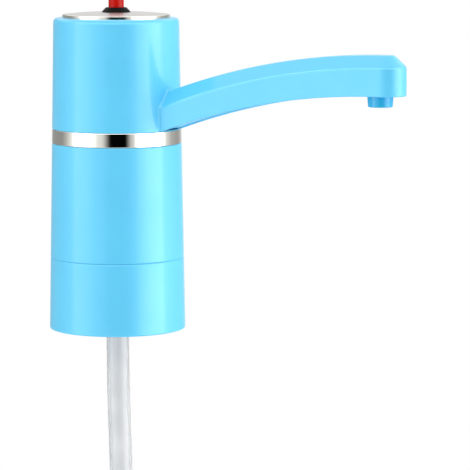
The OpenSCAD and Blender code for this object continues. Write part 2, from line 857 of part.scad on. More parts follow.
module spout_cover() {
    outline = plan(spout_wall + slip, spout_flange_x);
    color("lightskyblue") difference() {
        loft([
            [for (p = outline) [p.x, p.y, spout_low(p.x) + cover_inset]],
            [for (p = outline) [p.x, p.y, spout_low(p.x) + cover_inset + cover_t]]
        ]);
        translate([nozzle_x, 0, nose_cover_z - cover_t - 2 * over])
            cylinder(d = nozzle_d + 2 * slip, h = cover_t + 4 * over);
    }
}

module spout_nozzle() {
    low = spout_low(nose_x) - nozzle_h;
    top = nose_cover_z + chamber_h;
    color("lightskyblue") translate([nozzle_x, 0, 0]) difference() {
        union() {
            turned([
                [0, low],
                [nozzle_d / 2 - nozzle_taper, low],
                [nozzle_d / 2, low + nozzle_h],
                [nozzle_d / 2, nose_cover_z],
                [nozzle_d / 2 + nozzle_lip, nose_cover_z],
                [nozzle_d / 2 + nozzle_lip, nose_cover_z + nozzle_lip_h],
                [chamber_d / 2, nose_cover_z + nozzle_lip_h],
                [chamber_d / 2, top],
                [0, top]
            ]);
            translate([0, 0, nozzle_nipple_z]) rotate([0, -90, 0])
                cylinder(d = nipple_d, h = chamber_d / 2 + nozzle_nipple_len);
        }
        translate([0, 0, low - over]) cylinder(d = nozzle_bore, h = top - nozzle_roof - low + over);
        translate([0, 0, nozzle_nipple_z]) rotate([0, -90, 0])
            cylinder(d = nipple_bore, h = chamber_d + nozzle_nipple_len);
    }
}

module spout_screws() {
    color("silver") for (s = [-1, 1], z = spout_screw_z) translate([spout_in_x, s * spout_screw_y, z])
        rotate([0, 90, 0])
            screw(spout_screw_d, spout_flange_t + spout_screw_bite, spout_head_d, spout_head_h);
}

module outlet_hose() {
    flats = cos(180 / outlet_sides);
    path = curve(outlet_route, 2);
    color("whitesmoke") tube(path, outlet_d / 2, (nipple_d / 2 + slip) / flats, outlet_sides, [1, 0, -1]);
}

module top_plate() {
    edge_r = plate_d / 2;
    edge_top = roof_z + plate_edge;
    color("gainsboro") turned(concat(
        [[skirt_d / 2 - skirt_t, roof_z - skirt_h], [skirt_d / 2, roof_z - skirt_h], [skirt_d / 2, roof_z]],
        [[edge_r - plate_bevel, roof_z], [edge_r, roof_z + plate_bevel]],
        arc([edge_r - plate_round, edge_top - plate_round], plate_round, 0, 80),
        [
            [plate_flat_r, plate_z],
            [plate_bore_d / 2, plate_z],
            [plate_bore_d / 2, under_plate],
            [plate_flat_r, under_plate],
            [skirt_d / 2 - skirt_t, edge_top - plate_t]
        ]
    ));
}

module switch_body() {
    color("black") turned([
        [guide_r, plate_z + bezel_h],
        [guide_r, plate_z - flange_drop],
        [switch_bore_d / 2, plate_z - flange_drop],
        [switch_bore_d / 2, base_top],
        [bushing_d / 2, base_top],
        [bushing_d / 2, plate_z],
        [bezel_d / 2, plate_z],
        [bezel_d / 2, plate_z + bezel_foot],
        [bezel_top_d / 2 + bezel_edge / 2, plate_z + bezel_h - bezel_edge],
        [bezel_top_d / 2 - bezel_edge, plate_z + bezel_h]
    ]);
}

module switch_nut() {
    nut_z = under_plate - washer_t - nut_h;
    color("silver") translate([0, 0, nut_z]) difference() {
        cylinder(d = nut_across / cos(30), h = nut_h, $fn = 6);
        translate([0, 0, -over]) cylinder(d = bushing_d + 2 * pilot_gap, h = nut_h + 2 * over);
    }
}

module lock_washer() {
    color("silver") collar(nut_across / 2, bushing_d / 2 + fit, under_plate - washer_t, washer_t);
}

module switch_base() {
    color("saddlebrown") difference() {
        turned([
            [0, switch_low],
            [bushing_d / 2, switch_low],
            [bushing_d / 2, base_top],
            [switch_bore_d / 2 - slip, base_top],
            [0, base_top]
        ]);
        for (s = [-1, 1]) translate([0, s * post_y, switch_low - over])
            cylinder(d = post_d + 2 * pilot_gap, h = base_h + 2 * over);
    }
}

module switch_terminals() {
    color("silver") for (s = [-1, 1]) translate([0, s * post_y, 0]) {
        translate([0, 0, switch_low - post_drop]) cylinder(d = post_d, h = post_drop + base_h + post_rise);
        translate([-terminal_w / 2, -terminal_t / 2, switch_low - terminal_len])
            cube([terminal_w, terminal_t, terminal_len - slip]);
    }
}

module button_cap() {
    top = plate_z + bezel_h + button_rise;
    flange_top = plate_z - flange_drop - slip;
    flange_low = flange_top - button_flange_h;
    color("red") turned(concat(
        [
            [0, contact_z + contact_t],
            [stem_d / 2, contact_z + contact_t],
            [stem_d / 2, flange_low],
            [button_flange_d / 2, flange_low],
            [button_flange_d / 2, flange_top],
            [button_d / 2, flange_top]
        ],
        arc([button_d / 2 - button_round, top - button_round], button_round, 0, 90),
        [[0, top]]
    ));
}

module moving_contact() {
    color("goldenrod") translate([0, 0, contact_z]) cylinder(d = contact_d, h = contact_t);
}

module button_spring() {
    low = base_top + spring_wire / 2 + slip;
    high = plate_z - flange_drop - 2 * slip - button_flange_h - spring_wire / 2;
    steps = spring_steps * spring_turns;
    coil = [for (i = [0:steps])
        let(a = 360 / spring_steps * i)
        [spring_r * cos(a), spring_r * sin(a), low + (high - low) * i / steps]];
    color("silver") wire(coil, spring_wire / 2, spring_sides, [0, 0, 1]);
}

module at_pump() {
    translate([pump_x, 0, 0]) children();
}

// Outline shared by the pump's stacked layers: a round body with four screw ears
module pump_layer(z, h) {
    translate([0, 0, z]) linear_extrude(h) {
        circle(d = pump_d);
        around(4, 45) translate([ear_off, 0]) circle(d = ear_d);
    }
}

module pump_holes(z, h, d) {
    around(4, 45) translate([ear_off, 0, z]) cylinder(d = d, h = h);
}

module pump_deck() {
    hole_h = deck_t + 2 * over;
    color("white") difference() {
        union() {
            translate([0, 0, deck_z]) cylinder(r = deck_r, h = deck_t);
            for (s = [0, 1]) mirror([0, s, 0])
                translate([board_x - board_t / 2 - guide_d / 2, board_w / 2 - guide_lap, motor_z - bite])
                    cube([guide_d, guide_w, guide_h + bite]);
        }
        translate([0, 0, deck_z - over]) {
            translate([cell_x, 0, 0]) cylinder(d = cell_d + 2 * fit, h = hole_h);
            at_pump() cylinder(d = boss_front_d + 2 * fit, h = hole_h);
            at_pump() for (s = [-1, 1]) translate([0, s * motor_screw_off, 0])
                cylinder(d = motor_screw_d + 2 * fit, h = hole_h);
            for (a = deck_boss_angles) rotate([0, 0, a]) translate([deck_boss_r, 0, 0])
                cylinder(d = deck_screw_d + 2 * fit, h = hole_h);
            translate([hose_pass.x, hose_pass.y, 0]) cylinder(d = outlet_d + 2 * hose_room, h = hole_h);
        }
        translate([board_face_x - fit, -board_w / 2 - fit, motor_z])
            cube([board_t + 2 * fit, board_w + 2 * fit, guide_h + over]);
    }
}

module deck_screws() {
    color("silver") for (a = deck_boss_angles) rotate([0, 0, a])
        translate([deck_boss_r, 0, motor_z]) rotate([180, 0, 0])
            screw(deck_screw_d, deck_t + deck_screw_bite, deck_head_d, deck_head_h);
}

module motor_can() {
    color("silver") at_pump() difference() {
        union() {
            translate([0, 0, motor_z]) cylinder(d = motor_d, h = can_l);
            translate([0, 0, motor_z - boss_front_h]) cylinder(d = boss_front_d, h = boss_front_h + can_t);
        }
        translate([0, 0, motor_z + can_t]) cylinder(d = motor_d - 2 * can_t, h = can_l);
        translate([0, 0, motor_z - boss_front_h - over])
            cylinder(d = bush_d + 2 * pilot_gap, h = boss_front_h + can_t + 2 * over);
        for (s = [-1, 1]) translate([0, s * motor_screw_off, motor_z - over])
            cylinder(d = motor_screw_d + 2 * pilot_gap, h = can_t + 2 * over);
    }
}

module motor_endcap() {
    color("white") at_pump() difference() {
        union() {
            translate([0, 0, can_top]) cylinder(d = motor_d, h = endcap_l);
            translate([0, 0, can_top - endcap_plug])
                cylinder(d = motor_d - 2 * can_t - 2 * slip, h = endcap_plug + bite);
        }
        translate([0, 0, can_top - endcap_plug - over])
            cylinder(d = brush_room_d, h = endcap_plug + over + brush_room_h);
        translate([0, 0, can_top - over]) cylinder(d = bush_d + 2 * pilot_gap, h = endcap_l + 2 * over);
    }
}

module motor_magnets() {
    r_out = motor_d / 2 - can_t - slip;
    color("dimgray") at_pump() for (a = [0, 180]) rotate([0, 0, a]) intersection() {
        collar(r_out, r_out - magnet_t, motor_z + magnet_lift, magnet_h);
        translate([magnet_gap, -motor_d / 2, motor_z]) cube([motor_d, motor_d, can_l]);
    }
}

module motor_brushes() {
    brush_y = commutator_d / 2 + brush_gap + brush_w / 2;
    arm_h = brush_drop - brush_h + brush_room_h;
    color("peru") at_pump() for (s = [-1, 1]) translate([0, s * brush_y, can_top - brush_drop]) {
        translate([-brush_w / 2, -brush_w / 2, 0]) cube([brush_w, brush_w, brush_h]);
        translate([-brush_arm / 2, -brush_arm / 2, brush_h - slip]) cube([brush_arm, brush_arm, arm_h]);
    }
}

module shaft_bushes() {
    color("darkgoldenrod") at_pump() {
        collar(bush_d / 2, shaft_d / 2 + run, motor_z - boss_front_h, bush_h);
        collar(bush_d / 2, shaft_d / 2 + run, can_top + endcap_l - bush_h, bush_h);
    }
}

module motor_screws() {
    color("silver") at_pump() for (s = [-1, 1])
        translate([0, s * motor_screw_off, deck_z - flange_under])
            screw(motor_screw_d, flange_under + deck_t + motor_screw_bite, motor_head_d, motor_head_h);
}

module motor_shaft() {
    low = eccentric_z + eccentric_h / 2 + shaft_gap;
    color("lightsteelblue") at_pump() translate([0, 0, low])
        cylinder(d = shaft_d, h = can_top + endcap_l - shaft_gap - low);
}

// Three T-shaped poles on a hub
module pole_outline() {
    wide = armature_d * tan(pole_half_angle);
    circle(d = pole_hub_d);
    for (a = arm_angles) rotate(a) {
        translate([0, -pole_w / 2]) square([armature_d / 2 - pole_shoe_t / 2, pole_w]);
        intersection() {
            difference() {
                circle(d = armature_d);
                circle(d = armature_d - 2 * pole_shoe_t);
            }
            polygon([[0, 0], [armature_d, -wide], [armature_d, wide]]);
        }
    }
}

module armature_core() {
    color("gray") at_pump() translate([0, 0, core_z]) difference() {
        linear_extrude(core_h) pole_outline();
        translate([0, 0, -over]) cylinder(d = shaft_d + 2 * pilot_gap, h = core_h + 2 * over);
    }
}

module armature_windings() {
    winding_l = armature_d / 2 - pole_shoe_t - winding_gap - winding_x;
    color("chocolate") at_pump() for (a = arm_angles) rotate([0, 0, a]) difference() {
        translate([winding_x, -winding_w / 2, core_z - winding_over])
            cube([winding_l, winding_w, core_h + 2 * winding_over]);
        translate([0, -pole_w / 2 - slip, core_z - slip])
            cube([armature_d / 2, pole_w + 2 * slip, core_h + 2 * slip]);
    }
}

module commutator() {
    color("peru") at_pump()
        collar(commutator_d / 2, shaft_d / 2 + pilot_gap, can_top - commutator_drop, commutator_h);
}

module tilted() {
    translate([pump_x, 0, pivot_z]) rotate([0, wobble_deg, 0]) children();
}

module eccentric() {
    color("ivory") difference() {
        at_pump() translate([0, 0, eccentric_z]) cylinder(d = eccentric_d, h = eccentric_h);
        at_pump() translate([0, 0, eccentric_z + eccentric_h / 2])
            cylinder(d = shaft_d + 2 * pilot_gap, h = eccentric_h);
        tilted() cylinder(d = pin_d + 2 * pilot_gap, h = pin_up + fit);
    }
}

module crank_pin() {
    color("lightsteelblue") tilted() translate([0, 0, -pin_low]) cylinder(d = pin_d, h = pin_up + pin_low);
}

module wobble_plate() {
    color("ivory") tilted() difference() {
        union() {
            translate([0, 0, -hub_low]) cylinder(d = hub_d, h = hub_low + hub_high);
            for (a = arm_angles) rotate([0, 0, a]) {
                translate([0, -arm_w / 2, -arm_t / 2]) cube([chamber_off, arm_w, arm_t]);
                translate([chamber_off, 0, -arm_t / 2]) cylinder(d = arm_w, h = arm_t);
            }
        }
        translate([0, 0, -pin_low - slip]) cylinder(d = pin_d + 2 * run, h = hub_high + pin_low + over);
        for (a = arm_angles) rotate([0, 0, a]) translate([chamber_off, 0, -arm_t])
            cylinder(d = cup_nipple_d + 2 * cup_nipple_gap, h = 2 * arm_t);
    }
}

module pump_housing() {
    color("dimgray") at_pump() difference() {
        pump_layer(dia_top, drive_h);
        translate([0, 0, dia_top - over])
            cylinder(d = pump_d - 2 * pump_wall, h = drive_h - flange_under + over);
        translate([0, 0, deck_z - flange_under - over]) {
            cylinder(d = eccentric_d + 2 * drive_gap, h = flange_under + 2 * over);
            for (s = [-1, 1]) translate([0, s * motor_screw_off, 0])
                cylinder(d = motor_screw_d + 2 * fit, h = flange_under + 2 * over);
        }
        pump_holes(dia_top - over, pump_pilot + over, pump_screw_d + 2 * pilot_gap);
    }
}

// Height of the tilted arm's lower face over a chamber at angle a
function arm_low(a) = pivot_z - (chamber_off * cos(a) * sin(wobble_deg) + arm_t / 2) / cos(wobble_deg);

module diaphragm() {
    color("black") at_pump() difference() {
        union() {
            pump_layer(valve_top, dia_t);
            for (a = arm_angles) rotate([0, 0, a]) translate([chamber_off, 0, 0]) {
                translate([0, 0, valve_top]) cylinder(d = cup_d, h = dia_t + cup_h);
                translate([0, 0, dia_top]) cylinder(d = cup_stem_d, h = arm_low(a) - dia_top - arm_clear);
                translate([0, 0, dia_top])
                    cylinder(d = cup_nipple_d, h = arm_low(a) + arm_t + cup_bead - dia_top);
            }
        }
        for (a = arm_angles) rotate([0, 0, a]) translate([chamber_off, 0, valve_top - over])
            cylinder(d = cup_d - 2 * cup_wall, h = over + dia_t + cup_h - cup_wall);
        pump_holes(valve_top - over, dia_t + 2 * over, pump_screw_d + 2 * fit);
    }
}

module valve_plate() {
    hole_h = valve_h + 2 * over;
    color("white") at_pump() difference() {
        pump_layer(head_top, valve_h);
        translate([0, 0, head_top - over]) {
            for (a = arm_angles) rotate([0, 0, a]) {
                translate([chamber_off, 0, 0]) cylinder(d = valve_stem_d + 2 * pilot_gap, h = hole_h);
                for (b = port_angles) translate([chamber_off + port_off * cos(b), port_off * sin(b), 0])
                    cylinder(d = port_d, h = hole_h);
                translate([outlet_port_off, 0, 0]) cylinder(d = outlet_port_d, h = hole_h);
            }
            cylinder(d = outlet_stem_d + 2 * pilot_gap, h = hole_h);
        }
        pump_holes(head_top - over, hole_h, pump_screw_d + 2 * fit);
    }
}

module inlet_valves() {
    color("orangered") at_pump() for (a = arm_angles) rotate([0, 0, a]) translate([chamber_off, 0, 0]) {
        translate([0, 0, valve_top]) cylinder(d = valve_d, h = valve_t);
        translate([0, 0, head_top + valve_end]) cylinder(d = valve_stem_d, h = valve_h);
    }
}

module outlet_valve() {
    color("orangered") at_pump() {
        translate([0, 0, head_top - outlet_valve_t]) cylinder(d = outlet_valve_d, h = outlet_valve_t);
        translate([0, 0, head_top - outlet_valve_t / 2]) cylinder(d = outlet_stem_d, h = valve_h);
    }
}

module pump_cover() {
    well_z = head_top - well_h;
    color("white") difference() {
        union() {
            at_pump() pump_layer(pump_low, head_h);
            translate([0, 0, pump_low - nipple_len]) cylinder(d = inlet_nipple_d, h = nipple_len + bite);
            translate([elbow_x, 0, elbow_z - elbow_d / 2])
                cylinder(d = elbow_d, h = elbow_drop + elbow_d / 2);
            translate([elbow_x, 0, elbow_z]) rotate([-90, 0, 0]) cylinder(d = nipple_d, h = elbow_len);
        }
        at_pump() translate([0, 0, well_z]) cylinder(d = outlet_well_d, h = well_h + over);
        at_pump() collar(pump_d / 2 - pump_wall, inlet_well_d / 2, well_z, well_h + over);
        translate([0, 0, pump_low - nipple_len - over])
            cylinder(d = water_d, h = well_z - pump_low + nipple_len + 2 * over);
        translate([elbow_x, 0, elbow_z]) {
            cylinder(d = nipple_bore, h = well_z - elbow_z + over);
            rotate([-90, 0, 0]) cylinder(d = nipple_bore, h = elbow_len + over);
        }
        at_pump() pump_holes(pump_low - over, head_h + 2 * over, pump_screw_d + 2 * fit);
    }
}

module pump_screws() {
    color("silver") at_pump() around(4, 45) translate([ear_off, 0, pump_low])
        screw(pump_screw_d, head_h + valve_h + dia_t + pump_screw_bite, pump_head_d, pump_head_h);
}

module inlet_tube() {
    bore_r = inlet_nipple_d / 2 + slip;
    color("whitesmoke") collar(bore_r + inlet_tube_t, bore_r, floor_z + fit, pump_lift - 2 * fit);
}

module battery_cell() {
    color("mediumseagreen") translate([cell_x, 0, cell_z]) turned([
        [0, tab_t],
        [cell_d / 2 - cell_round, tab_t],
        [cell_d / 2, tab_t + cell_round],
        [cell_d / 2, cell_l - cell_cap_h - cell_round],
        [cell_d / 2 - cell_round, cell_l - cell_cap_h],
        [cell_cap_r, cell_l - cell_cap_h],
        [cell_cap_r, cell_l],
        [0, cell_l]
    ]);
}

module battery_tabs() {
    color("lightgray") {
        translate([cell_x - tab_l / 2, -tab_w / 2, cell_z]) cube([tab_l, tab_w, tab_t]);
        translate([cell_x - tab_l / 2, -tab_w / 2, cell_z + cell_l]) cube([tab_long, tab_w, tab_t]);
    }
}

module charge_board() {
    color("seagreen") translate([board_face_x, -board_w / 2, board_z]) cube([board_t, board_w, board_h]);
}

module board_components() {
    chip = [1.6, 5, 4];
    choke = [2.2, 5, 5];
    row_z = board_z + board_h - 6;
    capacitor_d = 4;
    capacitor_l = 3;
    color("darkslategray") translate([board_face_x, 0, 0]) {
        translate([-chip.x, -9, row_z]) cube(chip);
        translate([-choke.x, -1.6, row_z]) cube(choke);
        translate([0, -jack_body - fit, jack_z]) rotate([0, -90, 0])
            cylinder(d = capacitor_d, h = capacitor_l);
    }
}

module charge_jack() {
    barrel_l = board_face_x - bite - jack_face_x;
    color("black") translate([0, 0, jack_z]) difference() {
        union() {
            translate([board_face_x - jack_body_l, -jack_body / 2, -jack_body_h / 2])
                cube([jack_body_l, jack_body, jack_body_h]);
            translate([jack_face_x, 0, 0]) rotate([0, 90, 0]) cylinder(d = jack_d, h = barrel_l);
        }
        difference() {
            translate([jack_face_x - over, 0, 0]) rotate([0, 90, 0])
                cylinder(d = jack_bore, h = jack_bore_l + over);
            translate([jack_face_x + jack_pin_back, 0, 0]) rotate([0, 90, 0])
                cylinder(d = jack_pin_d, h = jack_bore_l);
        }
    }
}

module charge_lamp() {
    face_x = -sqrt(pow(body_r(jack_z), 2) - pow(lamp_y, 2)) + lamp_recess;
    dome_r = lamp_d / 2;
    length = board_face_x - face_x;
    color("tomato") translate([face_x, lamp_y, jack_z]) rotate([0, 90, 0])
        turned(concat(arc([0, dome_r], dome_r, -90, 0), [[dome_r, length], [0, length]]));
}

base_collar();
lower_shell();
trim_ring();
upper_shell();
grip_ring();
grip_screws();
suction_hose();
spout_shell();
spout_cover();
spout_nozzle();
spout_screws();
outlet_hose();
top_plate();
switch_body();
switch_nut();
lock_washer();
switch_base();
switch_terminals();
button_cap();
moving_contact();
button_spring();
pump_deck();
deck_screws();
motor_can();
motor_endcap();
motor_magnets();
motor_brushes();
shaft_bushes();
motor_screws();
motor_shaft();
armature_core();
armature_windings();
commutator();
eccentric();
crank_pin();
wobble_plate();
pump_housing();
diaphragm();
valve_plate();
inlet_valves();
outlet_valve();
pump_cover();
pump_screws();
inlet_tube();
battery_cell();
battery_tabs();
charge_board();
board_components();
charge_jack();
charge_lamp();
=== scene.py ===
"""Looks of an electric water jug pump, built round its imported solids.

Shapes are worked out in millimetres and go into the meshes in metres. +Z is up, the spout runs along +X,
and z = 0 is the seat of the neck.
"""

import json
import math

import bmesh
import bpy
import numpy as np
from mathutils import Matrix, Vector

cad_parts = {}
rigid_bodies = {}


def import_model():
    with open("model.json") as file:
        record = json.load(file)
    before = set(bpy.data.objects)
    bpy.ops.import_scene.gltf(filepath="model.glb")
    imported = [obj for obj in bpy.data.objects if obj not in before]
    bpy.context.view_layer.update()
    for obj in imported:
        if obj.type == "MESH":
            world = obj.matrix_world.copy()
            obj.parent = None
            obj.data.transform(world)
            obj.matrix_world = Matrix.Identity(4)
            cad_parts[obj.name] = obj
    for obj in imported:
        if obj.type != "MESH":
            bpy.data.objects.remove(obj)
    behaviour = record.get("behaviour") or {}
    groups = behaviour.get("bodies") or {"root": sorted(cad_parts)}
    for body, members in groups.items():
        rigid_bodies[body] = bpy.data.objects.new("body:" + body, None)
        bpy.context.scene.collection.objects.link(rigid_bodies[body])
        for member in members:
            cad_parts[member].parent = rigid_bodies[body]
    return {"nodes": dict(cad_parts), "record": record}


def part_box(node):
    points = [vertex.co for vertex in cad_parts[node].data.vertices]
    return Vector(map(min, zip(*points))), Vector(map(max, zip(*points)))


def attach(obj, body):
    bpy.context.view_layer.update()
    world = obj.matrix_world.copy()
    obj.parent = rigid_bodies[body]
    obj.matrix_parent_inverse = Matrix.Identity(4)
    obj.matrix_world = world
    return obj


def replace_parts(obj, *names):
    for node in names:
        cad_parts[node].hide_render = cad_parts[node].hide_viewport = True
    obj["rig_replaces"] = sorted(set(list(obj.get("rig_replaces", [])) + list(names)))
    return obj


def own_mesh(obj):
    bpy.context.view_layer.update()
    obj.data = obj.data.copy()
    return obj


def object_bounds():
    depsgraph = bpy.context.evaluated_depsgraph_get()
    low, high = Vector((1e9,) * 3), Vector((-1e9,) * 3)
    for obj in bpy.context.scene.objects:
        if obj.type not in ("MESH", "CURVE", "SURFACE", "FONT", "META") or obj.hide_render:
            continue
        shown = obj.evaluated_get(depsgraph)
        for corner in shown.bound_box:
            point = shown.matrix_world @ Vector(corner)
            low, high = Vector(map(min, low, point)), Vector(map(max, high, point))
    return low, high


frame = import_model()
cad_box = [list(corner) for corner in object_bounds()]
MM = 0.001

# Clearances of the solids
SLIP = 0.08
FIT = 0.15

# Body: levels, radii and walls
mouth_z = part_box("base_collar")[0].z / MM
seam_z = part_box("lower_shell")[0].z / MM
ring_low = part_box("trim_ring")[0].z / MM - SLIP
ring_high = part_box("trim_ring")[1].z / MM + SLIP
roof_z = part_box("upper_shell")[1].z / MM
split_z = (ring_low + ring_high) / 2
rim_r = 35.9
roof_r = 33.0
wall = 2.4
roof_round = 2.6
ring_t = 0.8
lap_h = 6.0
lap_t = 1.8
snap = 0.4
snap_z = seam_z + lap_h / 2

# Neck: collar bore, ceiling, grip ring and spigot
flange_t = 2.2
floor_z = 5.2
bore_r = 32.5
lip_r = 33.2
lip_h = 5.0
grip_r = 28.5
finger_t = 1.8
finger_h = 12.0
finger_hook = 0.9
finger_gap = 5.0
finger_count = 6
flange_r = 25.0
gap_r = 26.7
lobe_r = 20.5
lobe_d = 10.5
lobe_count = 3
lobe_hole_r = 1.65
lobe_a0 = math.radians(60)
lobe_angles = [lobe_a0 + 2 * math.pi * k / lobe_count for k in range(lobe_count)]
gap_angles = [lobe_a0 + 2 * math.pi * k / finger_count for k in range(finger_count)]
key_w = 3.4
key_depth = 2.4
recess_w = 8.4
recess_h = 8.0
recess_wall = 1.4
recess_a = math.radians(240)
spigot_r = 4.4
spigot_low = -12.8
water_r = 2.0
inlet_r = 3.0
inlet_top = 9.6
boss_r = 2.9
boss_h = 7.0
pilot_r = 1.55
head_r = 2.9
head_h = 1.9
shank_r = 1.5
shank_top = 8.0
cross_l = 3.4
cross_w = 0.8
cross_depth = 1.0

# Suction hose
hose_r = 6.0
hose_bore_r = 4.7
hose_edge = 0.25
hose_route = [
    [0, 0, 1.6], [0, 0, -14], [0, 0, -30], [0.2, 0, -52], [0.6, 0.1, -74], [1.3, 0.2, -96],
    [1.7, 0.5, -121.6], [3.1, 0.8, -147.1], [5.6, 1, -172.5], [9.4, 1.2, -197.8], [14.5, 1.3, -222.9],
    [20.9, 1.4, -247.7], [28.7, 1.4, -272], [38, 1.3, -295.8], [48.7, 1.2, -319.1], [60.7, 1, -341.6],
    [74.2, 0.8, -363.3], [89, 0.5, -384.2], [105.1, 0.2, -404],
]

# Spout: half section, wall and the parabola of its crown
half_w = 9.75
crown_half = 3.6
spout_h = 20.4
spout_rise = 22.3
spout_wall = 2.0
root_drop = 8.0
nose_drop = 5.8
spout_in_x = 25.0
flange_in_t = 2.2
flange_in_w = 14.15
flange_in_z = (80.8, 100.9)
spout_screw_y = 12.35
spout_screw_z = (84.8, 96.9)
screw_hole_r = 1.15
screw_pilot_r = 1.05
screw_pilot_l = 2.7
rail_half = 2.1
rail_end_x = 30.3
nose_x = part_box("spout_shell")[1].x / MM - half_w
root_low = ring_high + 0.4
nose_top = root_low + spout_h + spout_rise
cover_inset = 0.7
cover_t = 1.8
nozzle_x = 155.6
nozzle_r = 6.6
nozzle_taper = 0.4
nozzle_bore_r = 4.5
nozzle_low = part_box("spout_nozzle")[0].z / MM
nozzle_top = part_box("spout_nozzle")[1].z / MM
nozzle_roof = 1.4
nozzle_head_r = 6.0
nozzle_lip = 0.8
pipe_r = 2.5
pipe_bore_r = 1.6
pipe_rise = 5.6
fillet = 1.3
fillet_sunk = 0.25

# Top plate, switch and button
plate_r = 28.3
plate_edge = 1.6
plate_crown = 1.2
rim_gap = 0.35
plate_z = roof_z + plate_edge + plate_crown
plate_t = 1.4
plate_flat_r = 9.4
plate_bore_r = 6.05
skirt_r = 25.0
skirt_t = 1.4
skirt_h = 5.0
bezel_r = 7.4
bezel_top_r = 5.45
bezel_foot = 0.4
bezel_h = 2.5
bushing_r = 5.9
guide_r = 4.13
guide_h = 4.0
switch_bore_r = 4.8
base_top = 121.8
button_r = 4.05
button_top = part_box("button_cap")[1].z / MM
button_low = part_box("button_cap")[0].z / MM
button_flange = (4.65, 133.22, 134.72)
stem_r = 1.5

# Charging jack and lamp in the back of the lower shell
jack_z = 58.6
jack_hole_r = 3.15
jack_r = 3.0
jack_bore_r = 1.8
jack_bore_l = 6.5
jack_pin_r = 0.65
jack_face_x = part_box("charge_jack")[0].x / MM
jack_back_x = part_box("charge_jack")[1].x / MM
jack_body = (4.6, 7.4, 6.6)
lamp_y = 8.0
lamp_hole_r = 1.65

# Bosses inside the lower shell that carry the pump's deck
deck_z = 48.9
deck_boss_r = 3.2
deck_boss_h = 16.0
deck_boss_at = 29.74
deck_boss_angles = np.radians([-45, -135, 138])

# Pump: diaphragm with its three cups, and the wobble plate's arms above it
pump_x = -8.0
pump_r = 14.0
pump_ear_r = 2.8
pump_screw_r = 1.25
dia_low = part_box("diaphragm")[0].z / MM
dia_t = 1.2
dia_top = dia_low + dia_t
cup_off = 8.0
cup_r = 4.0
cup_wall = 0.8
cup_top = dia_top + 2.4
cup_angles = np.radians([0, 120, 240])
pivot_z = dia_top + 5.2
wobble = math.radians(6)
arm_t = 1.6
plunger_r = 1.5
plunger_low = 1.75
nipple_r = 0.9
bead_r = 1.5

# Return spring under the button's flange
spring_r = 3.2
spring_wire_r = 0.25
spring_turns = 7
spring_flat = 0.6
spring_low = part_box("button_spring")[0].z / MM
spring_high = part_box("button_spring")[1].z / MM

# Camera that took the picture, in pixels of its square frame
PICTURE = 470
FOCAL = 2900
SENSOR = 36
EYE = Vector((0.8149, -1.2870, 0.2080))
TURN = math.radians(30)
PITCH = math.radians(7)

# Distance in metres at which points are one
WELD = 2e-6
# Where a straight side is held, in cuts from its corner
HOLD = 1.6
# How far a joined form reaches into what carries it
SINK = 0.5
# Part of a noise's range that shows
CLOUDS = (0.3, 0.7)


def body_r(z):
    """Outer radius at height z: it falls evenly from the rim at the mouth to the roof."""
    return rim_r - (rim_r - roof_r) * (z - mouth_z) / (roof_z - mouth_z)


def inner_r(z):
    """Inner radius of the shells at height z."""
    return body_r(z) - wall


def spout_top(x):
    """Height of the crown at x: level at the nose, and lower by the square of the distance back from it."""
    back = np.maximum(0, nose_x - np.maximum(x, root_x)) / (nose_x - root_x)
    return nose_top - spout_rise * back**2


def spout_drop(x):
    """Height of the crown's chamfer at x, changing evenly from the root to the nose."""
    return root_drop + (nose_drop - root_drop) * (np.clip(x, root_x, nose_x) - root_x) / (nose_x - root_x)


root_x = body_r(ring_high) + 0.1


def around(steps):
    """Angles of so many even steps round a circle."""
    return np.linspace(0, 2 * np.pi, steps, endpoint=False)


def unit(v):
    """Vectors at length 1."""
    return v / np.linalg.norm(v, axis=-1, keepdims=True)


def polar(r, a):
    """Point at radius r and angle a, at height 0."""
    return np.array([r * math.cos(a), r * math.sin(a), 0.0])


def level(flat, z):
    """Flat points at height z."""
    return np.column_stack([flat, np.full(len(flat), z)])


def rectangle(x0, x1, y0, y1):
    """Corners of a rectangle."""
    return np.array([[x0, y0], [x1, y0], [x1, y1], [x0, y1]])


def eased(corners, cuts, steps=6):
    """Path along corners, each with a cut turned by a quadratic curve.

    The curve leaves the two sides one cut before and after the corner, and a point a little further out on
    each side keeps the side straight. A cut of 0 keeps a corner sharp. Takes one path or a stack of them.
    """
    s = np.linspace(0, 1, steps)[:, None]
    before = unit(np.roll(corners, 1, axis=-2) - corners)
    after = unit(np.roll(corners, -1, axis=-2) - corners)
    runs = []
    for k, cut in enumerate(cuts):
        here = corners[..., k : k + 1, :]
        if cut == 0:
            runs.append(here)
            continue
        back = cut * before[..., k : k + 1, :]
        on = cut * after[..., k : k + 1, :]
        bend = (1 - s) ** 2 * (here + back) + 2 * s * (1 - s) * here + s**2 * (here + on)
        runs += [here + HOLD * back, bend, here + HOLD * on]
    return np.concatenate(runs, axis=-2)


def outline(*corners):
    """Outline through (r, z, cut) corners, eased at each cut."""
    corners = np.array(corners, float)
    return eased(corners[:, :2], corners[:, 2])


def quads(rows, columns, ring_rows, ring_columns):
    """Corner numbers of the quads between a grid's neighbours, closed round either way if asked."""
    i = np.arange(rows if ring_rows else rows - 1)[:, None]
    j = np.arange(columns if ring_columns else columns - 1)[None, :]
    i2 = (i + 1) % rows
    j2 = (j + 1) % columns
    corners = np.broadcast_arrays(i * columns + j, i2 * columns + j, i2 * columns + j2, i * columns + j2)
    return np.stack(corners, -1).reshape(-1, 4)


def smooth(obj, sharp=34):
    """Shades smoothly, apart from edges that turn by more than the sharp angle in degrees."""
    mesh = obj.data
    mesh.polygons.foreach_set("use_smooth", np.ones(len(mesh.polygons), bool))
    mesh.set_sharp_from_angle(angle=math.radians(sharp))
    return obj


def added(name, data):
    """New object, put into the scene."""
    obj = bpy.data.objects.new(name, data)
    bpy.context.scene.collection.objects.link(obj)
    return obj


